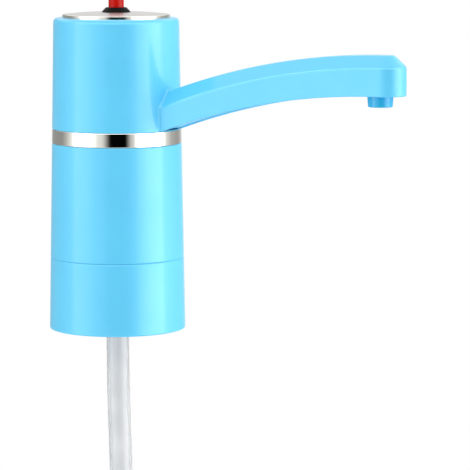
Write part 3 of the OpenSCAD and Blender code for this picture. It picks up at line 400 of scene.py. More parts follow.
def solid(name, grids, caps=(), sharp=34):
    """Closed mesh from grids (points, ring_rows, ring_columns) in millimetres and flat caps given as loops.

    Points that coincide are welded, and the faces are turned outwards.
    """
    points = [xyz.reshape(-1, 3) for xyz, _, _ in grids] + [np.asarray(loop) for loop in caps]
    starts = np.cumsum([0] + [len(p) for p in points])
    faces = []
    for (xyz, ring_rows, ring_columns), start in zip(grids, starts):
        faces += (quads(*xyz.shape[:2], ring_rows, ring_columns) + start).tolist()
    for loop, start in zip(caps, starts[len(grids) :]):
        faces.append(list(range(start, start + len(loop))))
    mesh = bpy.data.meshes.new(name)
    mesh.from_pydata((np.concatenate(points) * MM).tolist(), [], faces)
    work = bmesh.new()
    work.from_mesh(mesh)
    bmesh.ops.remove_doubles(work, verts=work.verts, dist=WELD)
    bmesh.ops.recalc_face_normals(work, faces=work.faces)
    work.to_mesh(mesh)
    work.free()
    return smooth(added(name, mesh), sharp)


def lathe(path, steps, centre=(0.0, 0.0), angles=None):
    """Grid of a turned path: point (r, z) at angle a lies at (cx + r cos a, cy + r sin a, z)."""
    angles = around(steps) if angles is None else angles
    a = angles[:, None]
    r = path[:, 0]
    z = np.broadcast_to(path[:, 1], (len(angles), len(path)))
    return np.stack([centre[0] + r * np.cos(a), centre[1] + r * np.sin(a), z], -1)


def turned(name, path, steps=240, centre=(0.0, 0.0), pole=False):
    """Solid of revolution of a closed outline, or of a path that starts and ends on the axis."""
    return solid(name, [(lathe(path, steps, centre), True, not pole)])


def rod(name, r, start, end, steps=48):
    """Straight round bar from start to end: a circle square to the line, carried along it to flat ends."""
    start, end = np.array(start, float), np.array(end, float)
    along = unit(end - start)
    across = unit(np.cross(along, [0.0, 1.0, 0.0] if abs(along[1]) < 0.9 else [1.0, 0.0, 0.0]))
    a = around(steps)[:, None]
    circle = r * (across * np.cos(a) + np.cross(along, across) * np.sin(a))
    return prism(name, start + circle, end + circle)


def post(name, r, at, low, high, steps=48):
    """Upright rod over a point, between two heights."""
    return rod(name, r, [*at[:2], low], [*at[:2], high], steps)


def prism(name, low, high):
    """Solid between two flat loops with as many points each."""
    rings = np.stack([low, high])
    return solid(name, [(rings, False, True)], [rings[0], rings[1]])


def block_x(name, start, end, across, heights, cut):
    """Block from start to end along X, with rounded corners seen along X."""
    side = eased(rectangle(*across, *heights), [cut] * 4)
    return prism(name, *(np.column_stack([np.full(len(side), x), side]) for x in (start, end)))


def cleaned(obj):
    """Takes out the edges and faces of no size that joining can leave."""
    work = bmesh.new()
    work.from_mesh(obj.data)
    bmesh.ops.remove_doubles(work, verts=work.verts, dist=WELD / 4)
    bmesh.ops.dissolve_degenerate(work, edges=work.edges, dist=WELD / 4)
    work.to_mesh(obj.data)
    work.free()
    return smooth(obj)


def carve(obj, tool, operation="DIFFERENCE"):
    """Cuts a tool out of a piece, or joins it on, and keeps the result as the piece's mesh."""
    change = obj.modifiers.new("change", "BOOLEAN")
    change.object = tool
    change.operation = operation
    change.solver = "EXACT"
    view = bpy.context.evaluated_depsgraph_get()
    mesh = bpy.data.meshes.new_from_object(obj.evaluated_get(view))
    obj.modifiers.clear()
    obj.data = mesh
    bpy.data.objects.remove(tool)
    smooth(obj)


def spun(points, angle):
    """Points turned about the Z axis."""
    c, s = math.cos(angle), math.sin(angle)
    return points @ np.array([[c, s, 0], [-s, c, 0], [0, 0, 1]])


def soft_square(w, cut, z):
    """Loop of a square with rounded corners at height z, about the origin."""
    h = w / 2
    flat = eased(np.array([[h, -h], [h, h], [-h, h], [-h, -h]]), [cut] * 4)
    return level(flat, z)


def dress(obj, slot, *replaced, body="pump_body", finish=None):
    """Gives a piece its body, the finish of its slot or the finish given, and the nodes that it stands for.
    """
    obj.data.materials.clear()
    obj.data.materials.append(finish or finishes[slot])
    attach(obj, body)
    if replaced:
        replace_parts(obj, *replaced)


def face_centres(obj):
    """Middles of a piece's faces, in millimetres."""
    centre = np.empty(3 * len(obj.data.polygons))
    obj.data.polygons.foreach_get("center", centre)
    return centre.reshape(-1, 3) / MM


def second_finish(obj, finish, chosen):
    """Gives the chosen faces of a piece another finish."""
    obj.data.materials.append(finish)
    obj.data.polygons.foreach_set("material_index", chosen.astype(np.int32))


# Finishes


def new_finish(name, **values):
    """Principled material with its constants on its own sockets."""
    finish = bpy.data.materials.new(name)
    finish.use_nodes = True
    shader = finish.node_tree.nodes["Principled BSDF"]
    for socket, value in values.items():
        socket = shader.inputs[socket.replace("_", " ")]
        socket.default_value = (*value, 1.0) if isinstance(value, tuple) else value
    return finish, finish.node_tree, shader


def node(tree, kind, inputs=None, **values):
    """New node with its properties set. An output given as an input is linked, the rest are constants."""
    made = tree.nodes.new(kind)
    for key, value in values.items():
        setattr(made, key, value)
    for key, value in (inputs or {}).items():
        if isinstance(value, bpy.types.NodeSocket):
            tree.links.new(value, made.inputs[key])
        else:
            made.inputs[key].default_value = value
    return made


def place(tree):
    """Object coordinates."""
    return node(tree, "ShaderNodeTexCoord").outputs["Object"]


def axis_distance(tree):
    """Distance from the Z axis on object coordinates."""
    flat = node(tree, "ShaderNodeVectorMath", {0: place(tree), 1: (1, 1, 0)}, operation="MULTIPLY")
    reach = node(tree, "ShaderNodeVectorMath", {0: flat.outputs["Vector"]}, operation="LENGTH")
    return reach.outputs["Value"]


def step(tree, source, low, high, kind="SMOOTHSTEP"):
    """Share of the way from low to high at which a number lies."""
    inputs = {"Value": source, "From Min": low, "From Max": high}
    return node(tree, "ShaderNodeMapRange", inputs, interpolation_type=kind).outputs["Result"]


def blend(tree, factor, first, second):
    """Mix of two numbers by a factor."""
    inputs = {"Factor": factor, "A": first, "B": second}
    return node(tree, "ShaderNodeMix", inputs, data_type="FLOAT").outputs["Result"]


def grain(tree, scale, detail=3.0, stretch=(1.0, 1.0, 1.0)):
    """Noise on object coordinates, with so many features to the metre, stretched along an axis if asked."""
    turn = node(tree, "ShaderNodeMapping", {"Vector": place(tree), "Scale": stretch})
    inputs = {"Vector": turn.outputs["Vector"], "Scale": scale, "Detail": detail}
    return node(tree, "ShaderNodeTexNoise", inputs).outputs["Fac"]


def vary(tree, source, socket, low, high):
    """Drives a number socket between low and high by a noise."""
    inputs = {"Value": source, "From Min": CLOUDS[0], "From Max": CLOUDS[1], "To Min": low, "To Max": high}
    tree.links.new(node(tree, "ShaderNodeMapRange", inputs).outputs["Result"], socket)


def tint(tree, source, socket, *colours):
    """Drives a colour socket between two colours by a noise."""
    ramp = node(tree, "ShaderNodeValToRGB", {"Fac": source})
    for mark, position, colour in zip(ramp.color_ramp.elements, CLOUDS, colours):
        mark.position = position
        mark.color = (*colour, 1.0)
    tree.links.new(ramp.outputs["Color"], socket)


def emboss(tree, shader, *heights):
    """Adds bumps to the shader's normal, each (height, strength, depth in metres)."""
    normal = shader.inputs["Normal"]
    for height, strength, depth in heights:
        inputs = {"Height": height, "Strength": strength, "Distance": depth}
        if normal.links:
            inputs["Normal"] = normal.links[0].from_socket
        tree.links.new(node(tree, "ShaderNodeBump", inputs).outputs["Normal"], normal)


def moulded(name, colour, rough, shift=0.04, peel=0.03, texture=0.05, **values):
    """Moulded plastic: faint clouds of colour, handling marks in its gloss, orange peel and mould grain."""
    finish, tree, shader = new_finish(name, **values)
    deep = tuple(c * (1 - shift) for c in colour)
    pale = tuple(min(1.0, c * (1 + shift)) for c in colour)
    tint(tree, grain(tree, 35, 4), shader.inputs["Base Color"], deep, pale)
    vary(tree, grain(tree, 90, 6), shader.inputs["Roughness"], rough * 0.85, rough * 1.2)
    emboss(tree, shader, (grain(tree, 260, 2), peel, 0.0002), (grain(tree, 3200, 2), texture, 0.00005))
    return finish


def metal(name, colour, rough, scale=900, marks=0.04):
    """Bare or plated metal: faint clouds of colour, and fine marks in its gloss and its surface."""
    finish, tree, shader = new_finish(name, Metallic=1.0)
    deep = tuple(c * 0.94 for c in colour)
    tint(tree, grain(tree, 60, 5), shader.inputs["Base Color"], deep, colour)
    marked = grain(tree, scale, 4)
    vary(tree, marked, shader.inputs["Roughness"], rough * 0.88, rough * 1.15)
    emboss(tree, shader, (marked, marks, 0.00005))
    return finish


def spun_metal(name, colour, rough):
    """Plated disc turned on a lathe: fine rings about Z, which come from noise along the radius alone."""
    finish, tree, shader = new_finish(name, Metallic=1.0)
    inputs = {"W": axis_distance(tree), "Scale": 2600, "Detail": 4}
    rings = node(tree, "ShaderNodeTexNoise", inputs, noise_dimensions="1D").outputs["Fac"]
    tint(tree, grain(tree, 60, 5), shader.inputs["Base Color"], tuple(c * 0.96 for c in colour), colour)
    vary(tree, rings, shader.inputs["Roughness"], rough * 0.8, rough * 1.2)
    emboss(tree, shader, (rings, 0.06, 0.00004))
    return finish


def lined_plastic(name, colour, rough):
    """Moulded plastic with the faint parallel lines of a milled mould, at an angle across the face."""
    finish = moulded(name, colour, rough, shift=0.03, texture=0.03, Coat_Weight=0.4, Coat_Roughness=0.12)
    tree = finish.node_tree
    turn = node(tree, "ShaderNodeMapping", {"Vector": place(tree), "Rotation": (0, 0, math.radians(35))})
    inputs = {"Vector": turn.outputs["Vector"], "Scale": 70, "Distortion": 0.4}
    lines = node(tree, "ShaderNodeTexWave", inputs, bands_direction="X")
    thin = node(tree, "ShaderNodeMath", {0: lines.outputs["Fac"], 1: 8}, operation="POWER")
    emboss(tree, tree.nodes["Principled BSDF"], (thin.outputs[0], 0.25, 0.0002))
    return finish


def silicone_finish():
    """Milky clear silicone: light goes through it, softened, with faint lines along the extruded tube."""
    finish, tree, shader = new_finish(
        "clear_silicone", Transmission_Weight=0.82, IOR=1.41, Specular_IOR_Level=0.5
    )
    tint(tree, grain(tree, 60, 4), shader.inputs["Base Color"], (0.86, 0.88, 0.9), (0.95, 0.96, 0.97))
    lines = grain(tree, 700, 3, (1.0, 1.0, 0.02))
    vary(tree, lines, shader.inputs["Roughness"], 0.16, 0.24)
    emboss(tree, shader, (lines, 0.03, 0.0001))
    return finish


finishes = {
    "body_plastic": moulded(
        "blue_gloss_plastic", (0.12, 0.65, 0.99), 0.4, shift=0.02, texture=0.02,
        Coat_Weight=0.55, Coat_Roughness=0.1,
    ),
    "chrome_trim": metal("bright_chrome", (0.83, 0.82, 0.76), 0.06, marks=0.01),
    "black_plastic": moulded("black_satin_plastic", (0.012, 0.012, 0.013), 0.34, shift=0.2, texture=0.12),
    "satin_cap": spun_metal("spun_chrome", (0.62, 0.608, 0.588), 0.34),
    "ceiling": lined_plastic("blue_lined_plastic", (0.12, 0.65, 0.99), 0.4),
    "switch_black": moulded(
        "black_switch_resin", (0.004, 0.004, 0.004), 0.45, shift=0.2, texture=0.12, Specular_IOR_Level=0.07
    ),
    # Nozzle: body plastic made darker and deeper blue, painted shade for its place under the spout
    "nozzle_painted_shade": moulded("blue_plastic_painted_shade", (0.02, 0.46, 0.8), 0.2, shift=0.02, texture=0.02),
    "button_red": moulded("red_gloss_plastic", (0.56, 0.006, 0.002), 0.18, Specular_IOR_Level=0.15),
    "steel": metal("plated_steel", (0.72, 0.71, 0.69), 0.22),
    "silicone": silicone_finish(),
    "white_plastic": moulded("white_plastic", (0.8, 0.8, 0.78), 0.38),
    "diaphragm_rubber": moulded("diaphragm_rubber", (0.05, 0.05, 0.055), 0.62, shift=0.15, texture=0.2),
    "valve_rubber": moulded("valve_rubber", (0.45, 0.09, 0.06), 0.55, shift=0.1),
    "copper": metal("copper_wire", (0.86, 0.42, 0.25), 0.25, scale=2400),
    "bronze": metal("sintered_bronze", (0.62, 0.42, 0.22), 0.4, scale=1800, marks=0.2),
    "phenolic": moulded("phenolic_resin", (0.16, 0.06, 0.03), 0.4, shift=0.15),
    "ferrite": moulded("ferrite_magnet", (0.07, 0.065, 0.065), 0.55, shift=0.2, texture=0.25),
    "cell_wrap": moulded("cell_wrap", (0.02, 0.22, 0.42), 0.3, shift=0.05),
    "board_green": moulded("circuit_board", (0.02, 0.16, 0.06), 0.32, shift=0.12),
    "component_black": moulded("component_resin", (0.02, 0.02, 0.022), 0.42, shift=0.2),
    "lamp_lens": moulded("lamp_lens", (0.75, 0.05, 0.04), 0.16, Transmission_Weight=0.6, IOR=1.5),
}


# Camera, light and stage


def studio_point(turn, distance, height):
    """Place so far from the body's axis, so many degrees to the right of the camera's direction."""
    a = math.radians(turn)
    towards = Vector((math.sin(TURN), -math.cos(TURN), 0))
    right = Vector((math.cos(TURN), math.sin(TURN), 0))
    return distance * (math.cos(a) * towards + math.sin(a) * right) + Vector((0, 0, height))


def aim(obj, target=Vector((0, 0, 0.06))):
    """Turns the -Z axis of a lamp or camera to a point."""
    obj.rotation_mode = "QUATERNION"
    obj.rotation_quaternion = (target - obj.location).to_track_quat("-Z", "Y")


def make_camera():
    """Camera of the picture: its focal length in pixels, its place, its turn and its pitch."""
    lens = bpy.data.cameras.new("camera")
    lens.sensor_width = SENSOR
    lens.lens = FOCAL * SENSOR / PICTURE
    lens.clip_start = 0.05
    lens.clip_end = 60
    camera = added("camera", lens)
    camera.location = EYE
    look = Vector((-math.sin(TURN) * math.cos(PITCH), math.cos(TURN) * math.cos(PITCH), -math.sin(PITCH)))
    aim(camera, EYE + look)
    bpy.context.scene.camera = camera


def softbox(name, turn, distance, height, width, tall, radiance):
    """Rectangular lamp that faces the body, as bright to look at as its radiance says."""
    lamp = bpy.data.lights.new(name, "AREA")
    lamp.shape = "RECTANGLE"
    lamp.size = width
    lamp.size_y = tall
    lamp.energy = radiance * math.pi * width * tall
    obj = added(name, lamp)
    obj.location = studio_point(turn, distance, height)
    aim(obj)
    obj.visible_glossy = False


# What shiny surfaces see round the horizon: degrees to the right of the camera's direction, and brightness
HORIZON = [
    (-180, 0.85), (-150, 0.36), (-112, 0.34), (-102, 0.48), (-94, 0.7), (-86, 1.0), (-73, 3.0),
    (-56, 2.4), (-27, 0.9), (-8, 0.0), (17, 0.0), (31, 0.75), (46, 3.3), (62, 4.9), (84, 4.9), (96, 1.3),
    (103, 0.8), (118, 0.5), (138, 0.4), (180, 0.85),
]
# What they see above it in front of the body: height of the ray, and brightness
DOME = [(0.3, 1.6), (0.4, 5.0), (0.54, 5.0), (0.66, 1.2), (1.0, 0.9)]
# What they see above it behind the body
DOME_BACK = 1.25
# Where the front takes over from the back, and at what heights the dome does from the horizon
DOME_FRONT = (-0.1, 0.15)
DOME_EDGE = (0.3, 0.42)


def brightness(tree, source, stops):
    """Brightness read off a table of places from 0 to 1, eased from one to the next."""
    peak = max(value for _, value in stops)
    ramp = node(tree, "ShaderNodeValToRGB", {"Fac": source})
    ramp.color_ramp.interpolation = "EASE"
    marks = ramp.color_ramp.elements
    while len(marks) < len(stops):
        marks.new(0.5)
    for mark, (position, value) in zip(marks, stops):
        mark.position = position
        mark.color = (value / peak, value / peak, value / peak, 1)
    inputs = {0: ramp.outputs["Color"], 1: peak}
    return node(tree, "ShaderNodeMath", inputs, operation="MULTIPLY").outputs[0]


def make_world(fill):
    """White world for camera and clear rays, a ring of studio light for mirror rays, and an even fill.

    The ring's brightness is read off the horizon's table by the ray's angle about Z, and gives way to the
    dome's by a smooth step of the ray's height. The dome is read off its table in front of the body, and is
    even behind it.
    """
    world = bpy.data.worlds.new("studio")
    world.use_nodes = True
    bpy.context.scene.world = world
    tree = world.node_tree
    ray = node(tree, "ShaderNodeLightPath").outputs
    inputs = {"Vector": node(tree, "ShaderNodeTexCoord").outputs["Generated"], "Angle": math.pi / 2 - TURN}
    turn = node(tree, "ShaderNodeVectorRotate", inputs, rotation_type="Z_AXIS")
    way = node(tree, "ShaderNodeSeparateXYZ", {"Vector": turn.outputs["Vector"]}).outputs
    angle = node(tree, "ShaderNodeMath", {0: way["Y"], 1: way["X"]}, operation="ARCTAN2").outputs[0]
    share = step(tree, angle, -math.pi, math.pi, "LINEAR")
    ring = brightness(tree, share, [(a / 360 + 0.5, value) for a, value in HORIZON])
    front = brightness(tree, way["Z"], DOME)
    dome = blend(tree, step(tree, way["X"], *DOME_FRONT), DOME_BACK, front)
    mirrored = blend(tree, step(tree, way["Z"], *DOME_EDGE), ring, dome)
    light = blend(tree, ray["Is Glossy Ray"], fill, mirrored)
    inputs = {0: ray["Is Camera Ray"], 1: ray["Is Transmission Ray"]}
    seen = node(tree, "ShaderNodeMath", inputs, operation="MAXIMUM").outputs[0]
    back = tree.nodes["Background"]
    back.inputs["Color"].default_value = (1, 1, 1, 1)
    tree.links.new(blend(tree, seen, light, 1.0), back.inputs["Strength"])


def make_floor(radius=1.35, fade=0.55):
    """Pale round floor under the hose's end, clear towards its edge, where it runs into the white world."""
    a = around(128)
    rim = level(radius * np.column_stack([np.cos(a), np.sin(a)]), cad_box[0][2] - 0.002)
    mesh = bpy.data.meshes.new("floor")
    mesh.from_pydata(rim.tolist(), [], [list(range(len(rim)))])
    finish, tree, shader = new_finish(
        "floor", Base_Color=(0.9, 0.9, 0.9), Roughness=0.9, Specular_IOR_Level=0.0
    )
    share = step(tree, axis_distance(tree), fade * radius, radius)
    clear = node(tree, "ShaderNodeBsdfTransparent").outputs["BSDF"]
    mix = node(tree, "ShaderNodeMixShader", {"Fac": share, 1: shader.outputs["BSDF"], 2: clear})
    tree.links.new(mix.outputs["Shader"], tree.nodes["Material Output"].inputs["Surface"])
    mesh.materials.append(finish)
    obj = added("floor", mesh)


make_camera()
make_world(0.82)
softbox("softbox_right", 84, 1.5, 0.35, 0.8, 1.8, 1.0)
softbox("softbox_left", -66, 1.5, 0.35, 0.9, 1.8, 0.82)
softbox("softbox_top", 0, 0.7, 1.6, 1.2, 0.9, 1.0)
softbox("softbox_rim", 105, 0.75, 0.12, 0.3, 0.6, 3.6)
make_floor()
bpy.context.scene.view_settings.view_transform = "Standard"


# Suction hose


def curve_through(points, steps):
    """Smooth line through points, a cubic for each stretch, with ends parallel to the neighbours' chord."""
    p = np.array(points, float)
    p = np.concatenate([2 * p[:1] - p[1:2], p, 2 * p[-1:] - p[-2:-1]])
    t = np.linspace(0, 1, steps, endpoint=False)[None, :, None]
    a, b, c, d = (p[k : len(p) - 3 + k, None, :] for k in range(4))
    line = b + 0.5 * t * (c - a + t * (2 * a - 5 * b + 4 * c - d + t * (3 * (b - c) + d - a)))
    return np.concatenate([line.reshape(-1, 3), p[-2:-1]])


def suction_hose():
    """Tube of even wall along the hose's line.

    At each point of the line a ring of angle a lies at radius times (cos a along one cross direction +
    sin a along the other). The rows run down the outside, round the cut end, up the bore and round the
    upper end.
    """
    line = curve_through(hose_route, 8)
    along = unit(np.gradient(line, axis=0))
    side = unit(np.cross(along, [0.0, 1.0, 0.0]))
    other = np.cross(along, side)
    a = around(64)[None, :, None]
    ring = side[:, None] * np.cos(a) + other[:, None] * np.sin(a)

    def wall_of(r):
        tube = line[:, None] + r * ring
        tube[0] += hose_edge * along[0]
        tube[-1] -= hose_edge * along[-1]
        return tube

    def end(k):
        return np.stack([line[k] + r * ring[k] for r in (hose_r - hose_edge, hose_bore_r + hose_edge)])

    rows = np.concatenate([wall_of(hose_r), end(-1), wall_of(hose_bore_r)[::-1], end(0)[::-1]])
    hose = solid("drop_hose", [(rows, True, True)], sharp=50)
    dress(hose, "silicone", "suction_hose")


suction_hose()


# Body shells


def collar():
    """Collar and ceiling: a turned outline, joined by bosses, key ribs and a square well, then bored."""
    lap_r = inner_r(seam_z + lap_h) - FIT
    piece = turned("collar", outline(
        (lip_r, mouth_z, 0.35), (body_r(mouth_z), mouth_z, 0.9), (body_r(seam_z), seam_z, 0.9),
        (lap_r, seam_z, 0), (lap_r, snap_z - 2 * snap, 0), (lap_r + snap, snap_z, 0),
        (lap_r, snap_z + 2 * snap, 0), (lap_r, seam_z + lap_h, 0.3),
        (lap_r - lap_t, seam_z + lap_h, 0.3), (lap_r - lap_t, floor_z, 0), (inlet_r, floor_z, 0.4),
        (inlet_r, inlet_top, 0.3), (water_r, inlet_top, 0.2), (water_r, spigot_low, 0.3),
        (spigot_r, spigot_low, 0.6), (spigot_r, flange_t, 0.5), (bore_r, flange_t, 0.6),
        (bore_r, mouth_z + lip_h + lip_r - bore_r, 0.2), (lip_r, mouth_z + lip_h, 0.2),
    ))
    boss_top = floor_z + boss_h
    for a in lobe_angles:
        at = polar(lobe_r, a)
        carve(piece, post("boss", boss_r, at, floor_z - SINK, boss_top), "UNION")
        carve(piece, post("pilot", pilot_r, at, flange_t - 1, boss_top - 1))
    rib = eased(rectangle(bore_r - key_depth, bore_r + SINK, -key_w / 2, key_w / 2), [0.4, 0, 0, 0.4])
    for a in gap_angles:
        loops = [spun(level(rib, z), a) for z in (flange_t - finger_h, flange_t + SINK)]
        carve(piece, prism("rib", *loops), "UNION")

    def well(w, cut, *heights):
        at = [flange_r - recess_w / 2, 0, 0]
        return prism("well", *(spun(soft_square(w, cut, z) + at, recess_a) for z in heights))

    well_top = flange_t + recess_h
    carve(piece, well(recess_w + 2 * recess_wall, 2.6, floor_z - SINK, well_top + recess_wall), "UNION")
    carve(piece, well(recess_w, 1.2, flange_t - 1, well_top))
    dress(piece, "body_plastic", "base_collar")
    second_finish(piece, finishes["ceiling"], np.abs(face_centres(piece)[:, 2] - flange_t) < 0.02)


def lower_case():
    """Lower shell: a turned outline with its deck bosses, and the holes for the jack and the lamp."""
    seat_r = body_r(ring_high) - ring_t - SLIP
    piece = turned("lower_case", outline(
        (inner_r(seam_z), seam_z, 0), (body_r(seam_z), seam_z, 0.4),
        (body_r(ring_low), ring_low, 0.6), (seat_r, ring_low, 0), (seat_r, split_z, 0.2),
        (inner_r(split_z), split_z, 0.2), (inner_r(snap_z + 2 * snap), snap_z + 2 * snap, 0),
        (inner_r(snap_z) + snap, snap_z, 0), (inner_r(snap_z - 2 * snap), snap_z - 2 * snap, 0),
    ))
    for a in deck_boss_angles:
        at = polar(deck_boss_at, a)
        carve(piece, post("boss", deck_boss_r, at, deck_z - deck_boss_h, deck_z), "UNION")
    for name, r, y in (("jack_hole", jack_hole_r, 0.0), ("lamp_hole", lamp_hole_r, lamp_y)):
        carve(piece, rod(name, r, [-rim_r - 5, y, jack_z], [-rim_r / 2, y, jack_z]))
    dress(piece, "body_plastic", "lower_shell")


def spout_mouth(grow, x):
    """Loop of the spout's outer section at its root, larger by grow, at x."""
    top = spout_top(root_x)
    w = half_w + grow
    side = [(w, root_low - grow), (w, top - root_drop + grow), (crown_half + grow, top + grow)]
    return np.column_stack([np.full(6, x), side + [(-y, z) for y, z in side[::-1]]])


def upper_case():
    """Upper shell: a turned outline with a round roof edge, opened for the spout, with screw rails."""
    seat_r = body_r(ring_high) - ring_t - SLIP
    lap_r = inner_r(split_z) - FIT
    piece = turned("upper_case", outline(
        (lap_r - lap_t, split_z - lap_h, 0.2), (lap_r, split_z - lap_h, 0.2),
        (lap_r, split_z + SLIP, 0), (seat_r, split_z + SLIP, 0), (seat_r, ring_high, 0),
        (body_r(ring_high), ring_high, 0.35), (body_r(roof_z), roof_z, roof_round),
        (skirt_r + FIT, roof_z, 0.2), (skirt_r + FIT, roof_z - wall, 0),
        (inner_r(roof_z - wall), roof_z - wall, 1.0),
        (inner_r(ring_high + lap_t), ring_high + lap_t, 0), (lap_r - lap_t, ring_high, 0),
    ), steps=288)
    carve(piece, prism("spout_room", spout_mouth(FIT, spout_in_x - 3), spout_mouth(FIT, rim_r + 10)))
    rail_x = spout_in_x + flange_in_t
    for y in (-spout_screw_y, spout_screw_y):
        across = (y - rail_half, y + rail_half)
        carve(piece, block_x("rail", rail_x, rail_end_x, across, flange_in_z, 0.3), "UNION")
        for z in spout_screw_z:
            ends = [rail_x - 1, y, z], [rail_x + screw_pilot_l, y, z]
            carve(piece, rod("pilot", screw_pilot_r, *ends, 32))
    dress(piece, "body_plastic", "upper_shell")


def chrome_band():
    """Trim ring between the shells: a thin turned band with eased edges."""
    r = body_r(ring_high) - ring_t
    piece = turned("chrome_band", outline(
        (r, ring_low + SLIP, 0), (body_r(ring_low), ring_low + SLIP, 0.45),
        (body_r(ring_high), ring_high - SLIP, 0.45), (r, ring_high - SLIP, 0),
    ), steps=320)
    dress(piece, "chrome_trim", "trim_ring")


def chrome_cap():
    """Top plate: a turned outline whose crown falls by the square of the distance from its flat middle."""
    edge_top = roof_z + plate_edge
    foot_r, foot_z = plate_r - rim_gap, roof_z + rim_gap
    out = plate_r - 0.7
    r = np.linspace(out, plate_flat_r, 24)
    crown = np.column_stack([r, plate_z - plate_crown * ((r - plate_flat_r) / (out - plate_flat_r)) ** 2])
    path = np.concatenate([
        [[skirt_r - skirt_t, roof_z - skirt_h], [skirt_r, roof_z - skirt_h], [skirt_r, roof_z],
         [foot_r, roof_z]],
        outline(
            (foot_r, foot_z, 0), (plate_r, foot_z, 0.1), (plate_r, edge_top + 0.05, 0.25), (*crown[2], 0),
        ),
        crown[3:],
        [[plate_bore_r, plate_z], [plate_bore_r, plate_z - plate_t], [plate_flat_r, plate_z - plate_t],
         [skirt_r - skirt_t, edge_top - plate_t]],
    ])
    piece = turned("chrome_cap", path, steps=320)
    dress(piece, "chrome_trim", "top_plate", finish=finishes["satin_cap"])
    centre = face_centres(piece)
    second_finish(piece, finishes["chrome_trim"], np.hypot(centre[:, 0], centre[:, 1]) > plate_r - 0.75)


def switch_bezel():
    """Black switch body: a turned bushing with a tapered bezel."""
    piece = turned("switch_bezel", outline(
        (guide_r, plate_z + bezel_h, 0.25), (guide_r, plate_z - guide_h, 0),
        (switch_bore_r, plate_z - guide_h, 0), (switch_bore_r, base_top, 0),
        (bushing_r, base_top, 0), (bushing_r, plate_z, 0), (bezel_r, plate_z, 0.1),
        (bezel_r, plate_z + bezel_foot, 0.12), (bezel_top_r, plate_z + bezel_h, 0.4),
    ), steps=144)
    dress(piece, "black_plastic", "switch_body", finish=finishes["switch_black"])


def push_button():
    """Red button: a turned stem, flange and cap, whose top dips a little towards its middle."""
    flange, low, high = button_flange
    rim = button_r - 1.2
    r = np.linspace(rim, 0, 10)
    dish = np.column_stack([r, button_top - 0.22 * (1 - (r / rim) ** 2) ** 2])
    path = np.concatenate([
        outline(
            (0, button_low, 0), (stem_r, button_low, 0.2), (stem_r, low, 0), (flange, low, 0.2),
            (flange, high, 0.2), (button_r, high, 0), (button_r, button_top, 0.7), (rim, button_top, 0),
        ),
        dish[1:],
    ])
    piece = turned("push_button", path, steps=128, pole=True)
    dress(piece, "button_red", "button_cap", body="button")


def return_spring():
    """Coil spring under the button, which in the real pump shortens with it; here it is made at its rest
    length, with a mesh of its own.

    The wire's middle runs round the axis at angle a, and rises evenly apart from the flat part of a turn at
    each end. The wire's circle stands square to that line.
    """
    t = np.linspace(0, 1, 72 * spring_turns)
    a = 2 * np.pi * spring_turns * t
    dead = spring_flat / spring_turns
    rise = np.clip((t - dead) / (1 - 2 * dead), 0, 1)
    z = spring_low + spring_wire_r + (spring_high - spring_low - 2 * spring_wire_r) * rise
    line = np.column_stack([spring_r * np.cos(a), spring_r * np.sin(a), z])
    outward = np.column_stack([np.cos(a), np.sin(a), np.zeros(len(a))])
    up = np.cross(unit(np.gradient(line, axis=0)), outward)
    b = around(12)[None, :, None]
    rings = line[:, None] + spring_wire_r * (outward[:, None] * np.cos(b) + up[:, None] * np.sin(b))
    piece = solid("return_spring", [(rings, False, True)], [rings[0], rings[-1]], sharp=60)
    dress(piece, "steel", "button_spring")
    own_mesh(piece)


collar()
lower_case()
upper_case()
chrome_band()
chrome_cap()
switch_bezel()
push_button()
return_spring()


# Diaphragm


def membrane():
    """Rubber sheet of the pump: a disc with four screw ears and three hollow cups, open under them."""
    at = (pump_x, 0.0)
    piece = turned("membrane", outline(
        (0, dia_low, 0), (pump_r, dia_low, 0.2), (pump_r, dia_top, 0.2), (0, dia_top, 0),
    ), steps=128, centre=at, pole=True)
    ear_off = (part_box("diaphragm")[1].x / MM - pump_x - pump_ear_r) * math.sqrt(2)
    for a in np.radians([45, 135, 225, 315]):
        ear = polar(ear_off, a) + [pump_x, 0, 0]
        carve(piece, post("ear", pump_ear_r, ear, dia_low, dia_top), "UNION")
        carve(piece, post("ear_hole", pump_screw_r, ear, dia_low - 1, dia_top + 1))
    for a in cup_angles:
        centre = polar(cup_off, a) + [pump_x, 0, 0]
        foot = dia_low + 0.3
        cup = outline((0, foot, 0), (cup_r, foot, 0), (cup_r, cup_top, 1.1), (0, cup_top, 0))
        room = outline((0, dia_low - 1, 0), (cup_r - cup_wall, dia_low - 1, 0),
                       (cup_r - cup_wall, cup_top - cup_wall, 0.6), (0, cup_top - cup_wall, 0))
        carve(piece, turned("cup", cup, 64, centre, True), "UNION")
        carve(piece, turned("cup_room", room, 60, centre, True))
    dress(cleaned(piece), "diaphragm_rubber", "diaphragm")


def plungers():
    """Rubber plungers buttoned into the wobble plate's arms.

    Each is a turned stem, nipple and bead, set square to the plate. They are short enough to meet the cups
    only at the bottom of their stroke.
    """
    half = arm_t / 2 + 0.02
    path = outline(
        (0, -plunger_low, 0), (plunger_r, -plunger_low, 0.3), (plunger_r, -half, 0.1), (nipple_r, -half, 0),
        (nipple_r, half, 0), (bead_r, half, 0.1), (bead_r, half + 0.6, 0.25), (0, half + 0.6, 0),
    )
    c, s = math.cos(wobble), math.sin(wobble)
    tilt = np.array([[c, 0, -s], [0, 1, 0], [s, 0, c]])
    grids = []
    for a in cup_angles:
        one = lathe(path, 48, polar(cup_off, a))
        grids.append((one @ tilt + [pump_x, 0, pivot_z], True, False))
    piece = solid("plungers", grids)
    dress(piece, "diaphragm_rubber", body="wobble")


membrane()
plungers()


# Spout


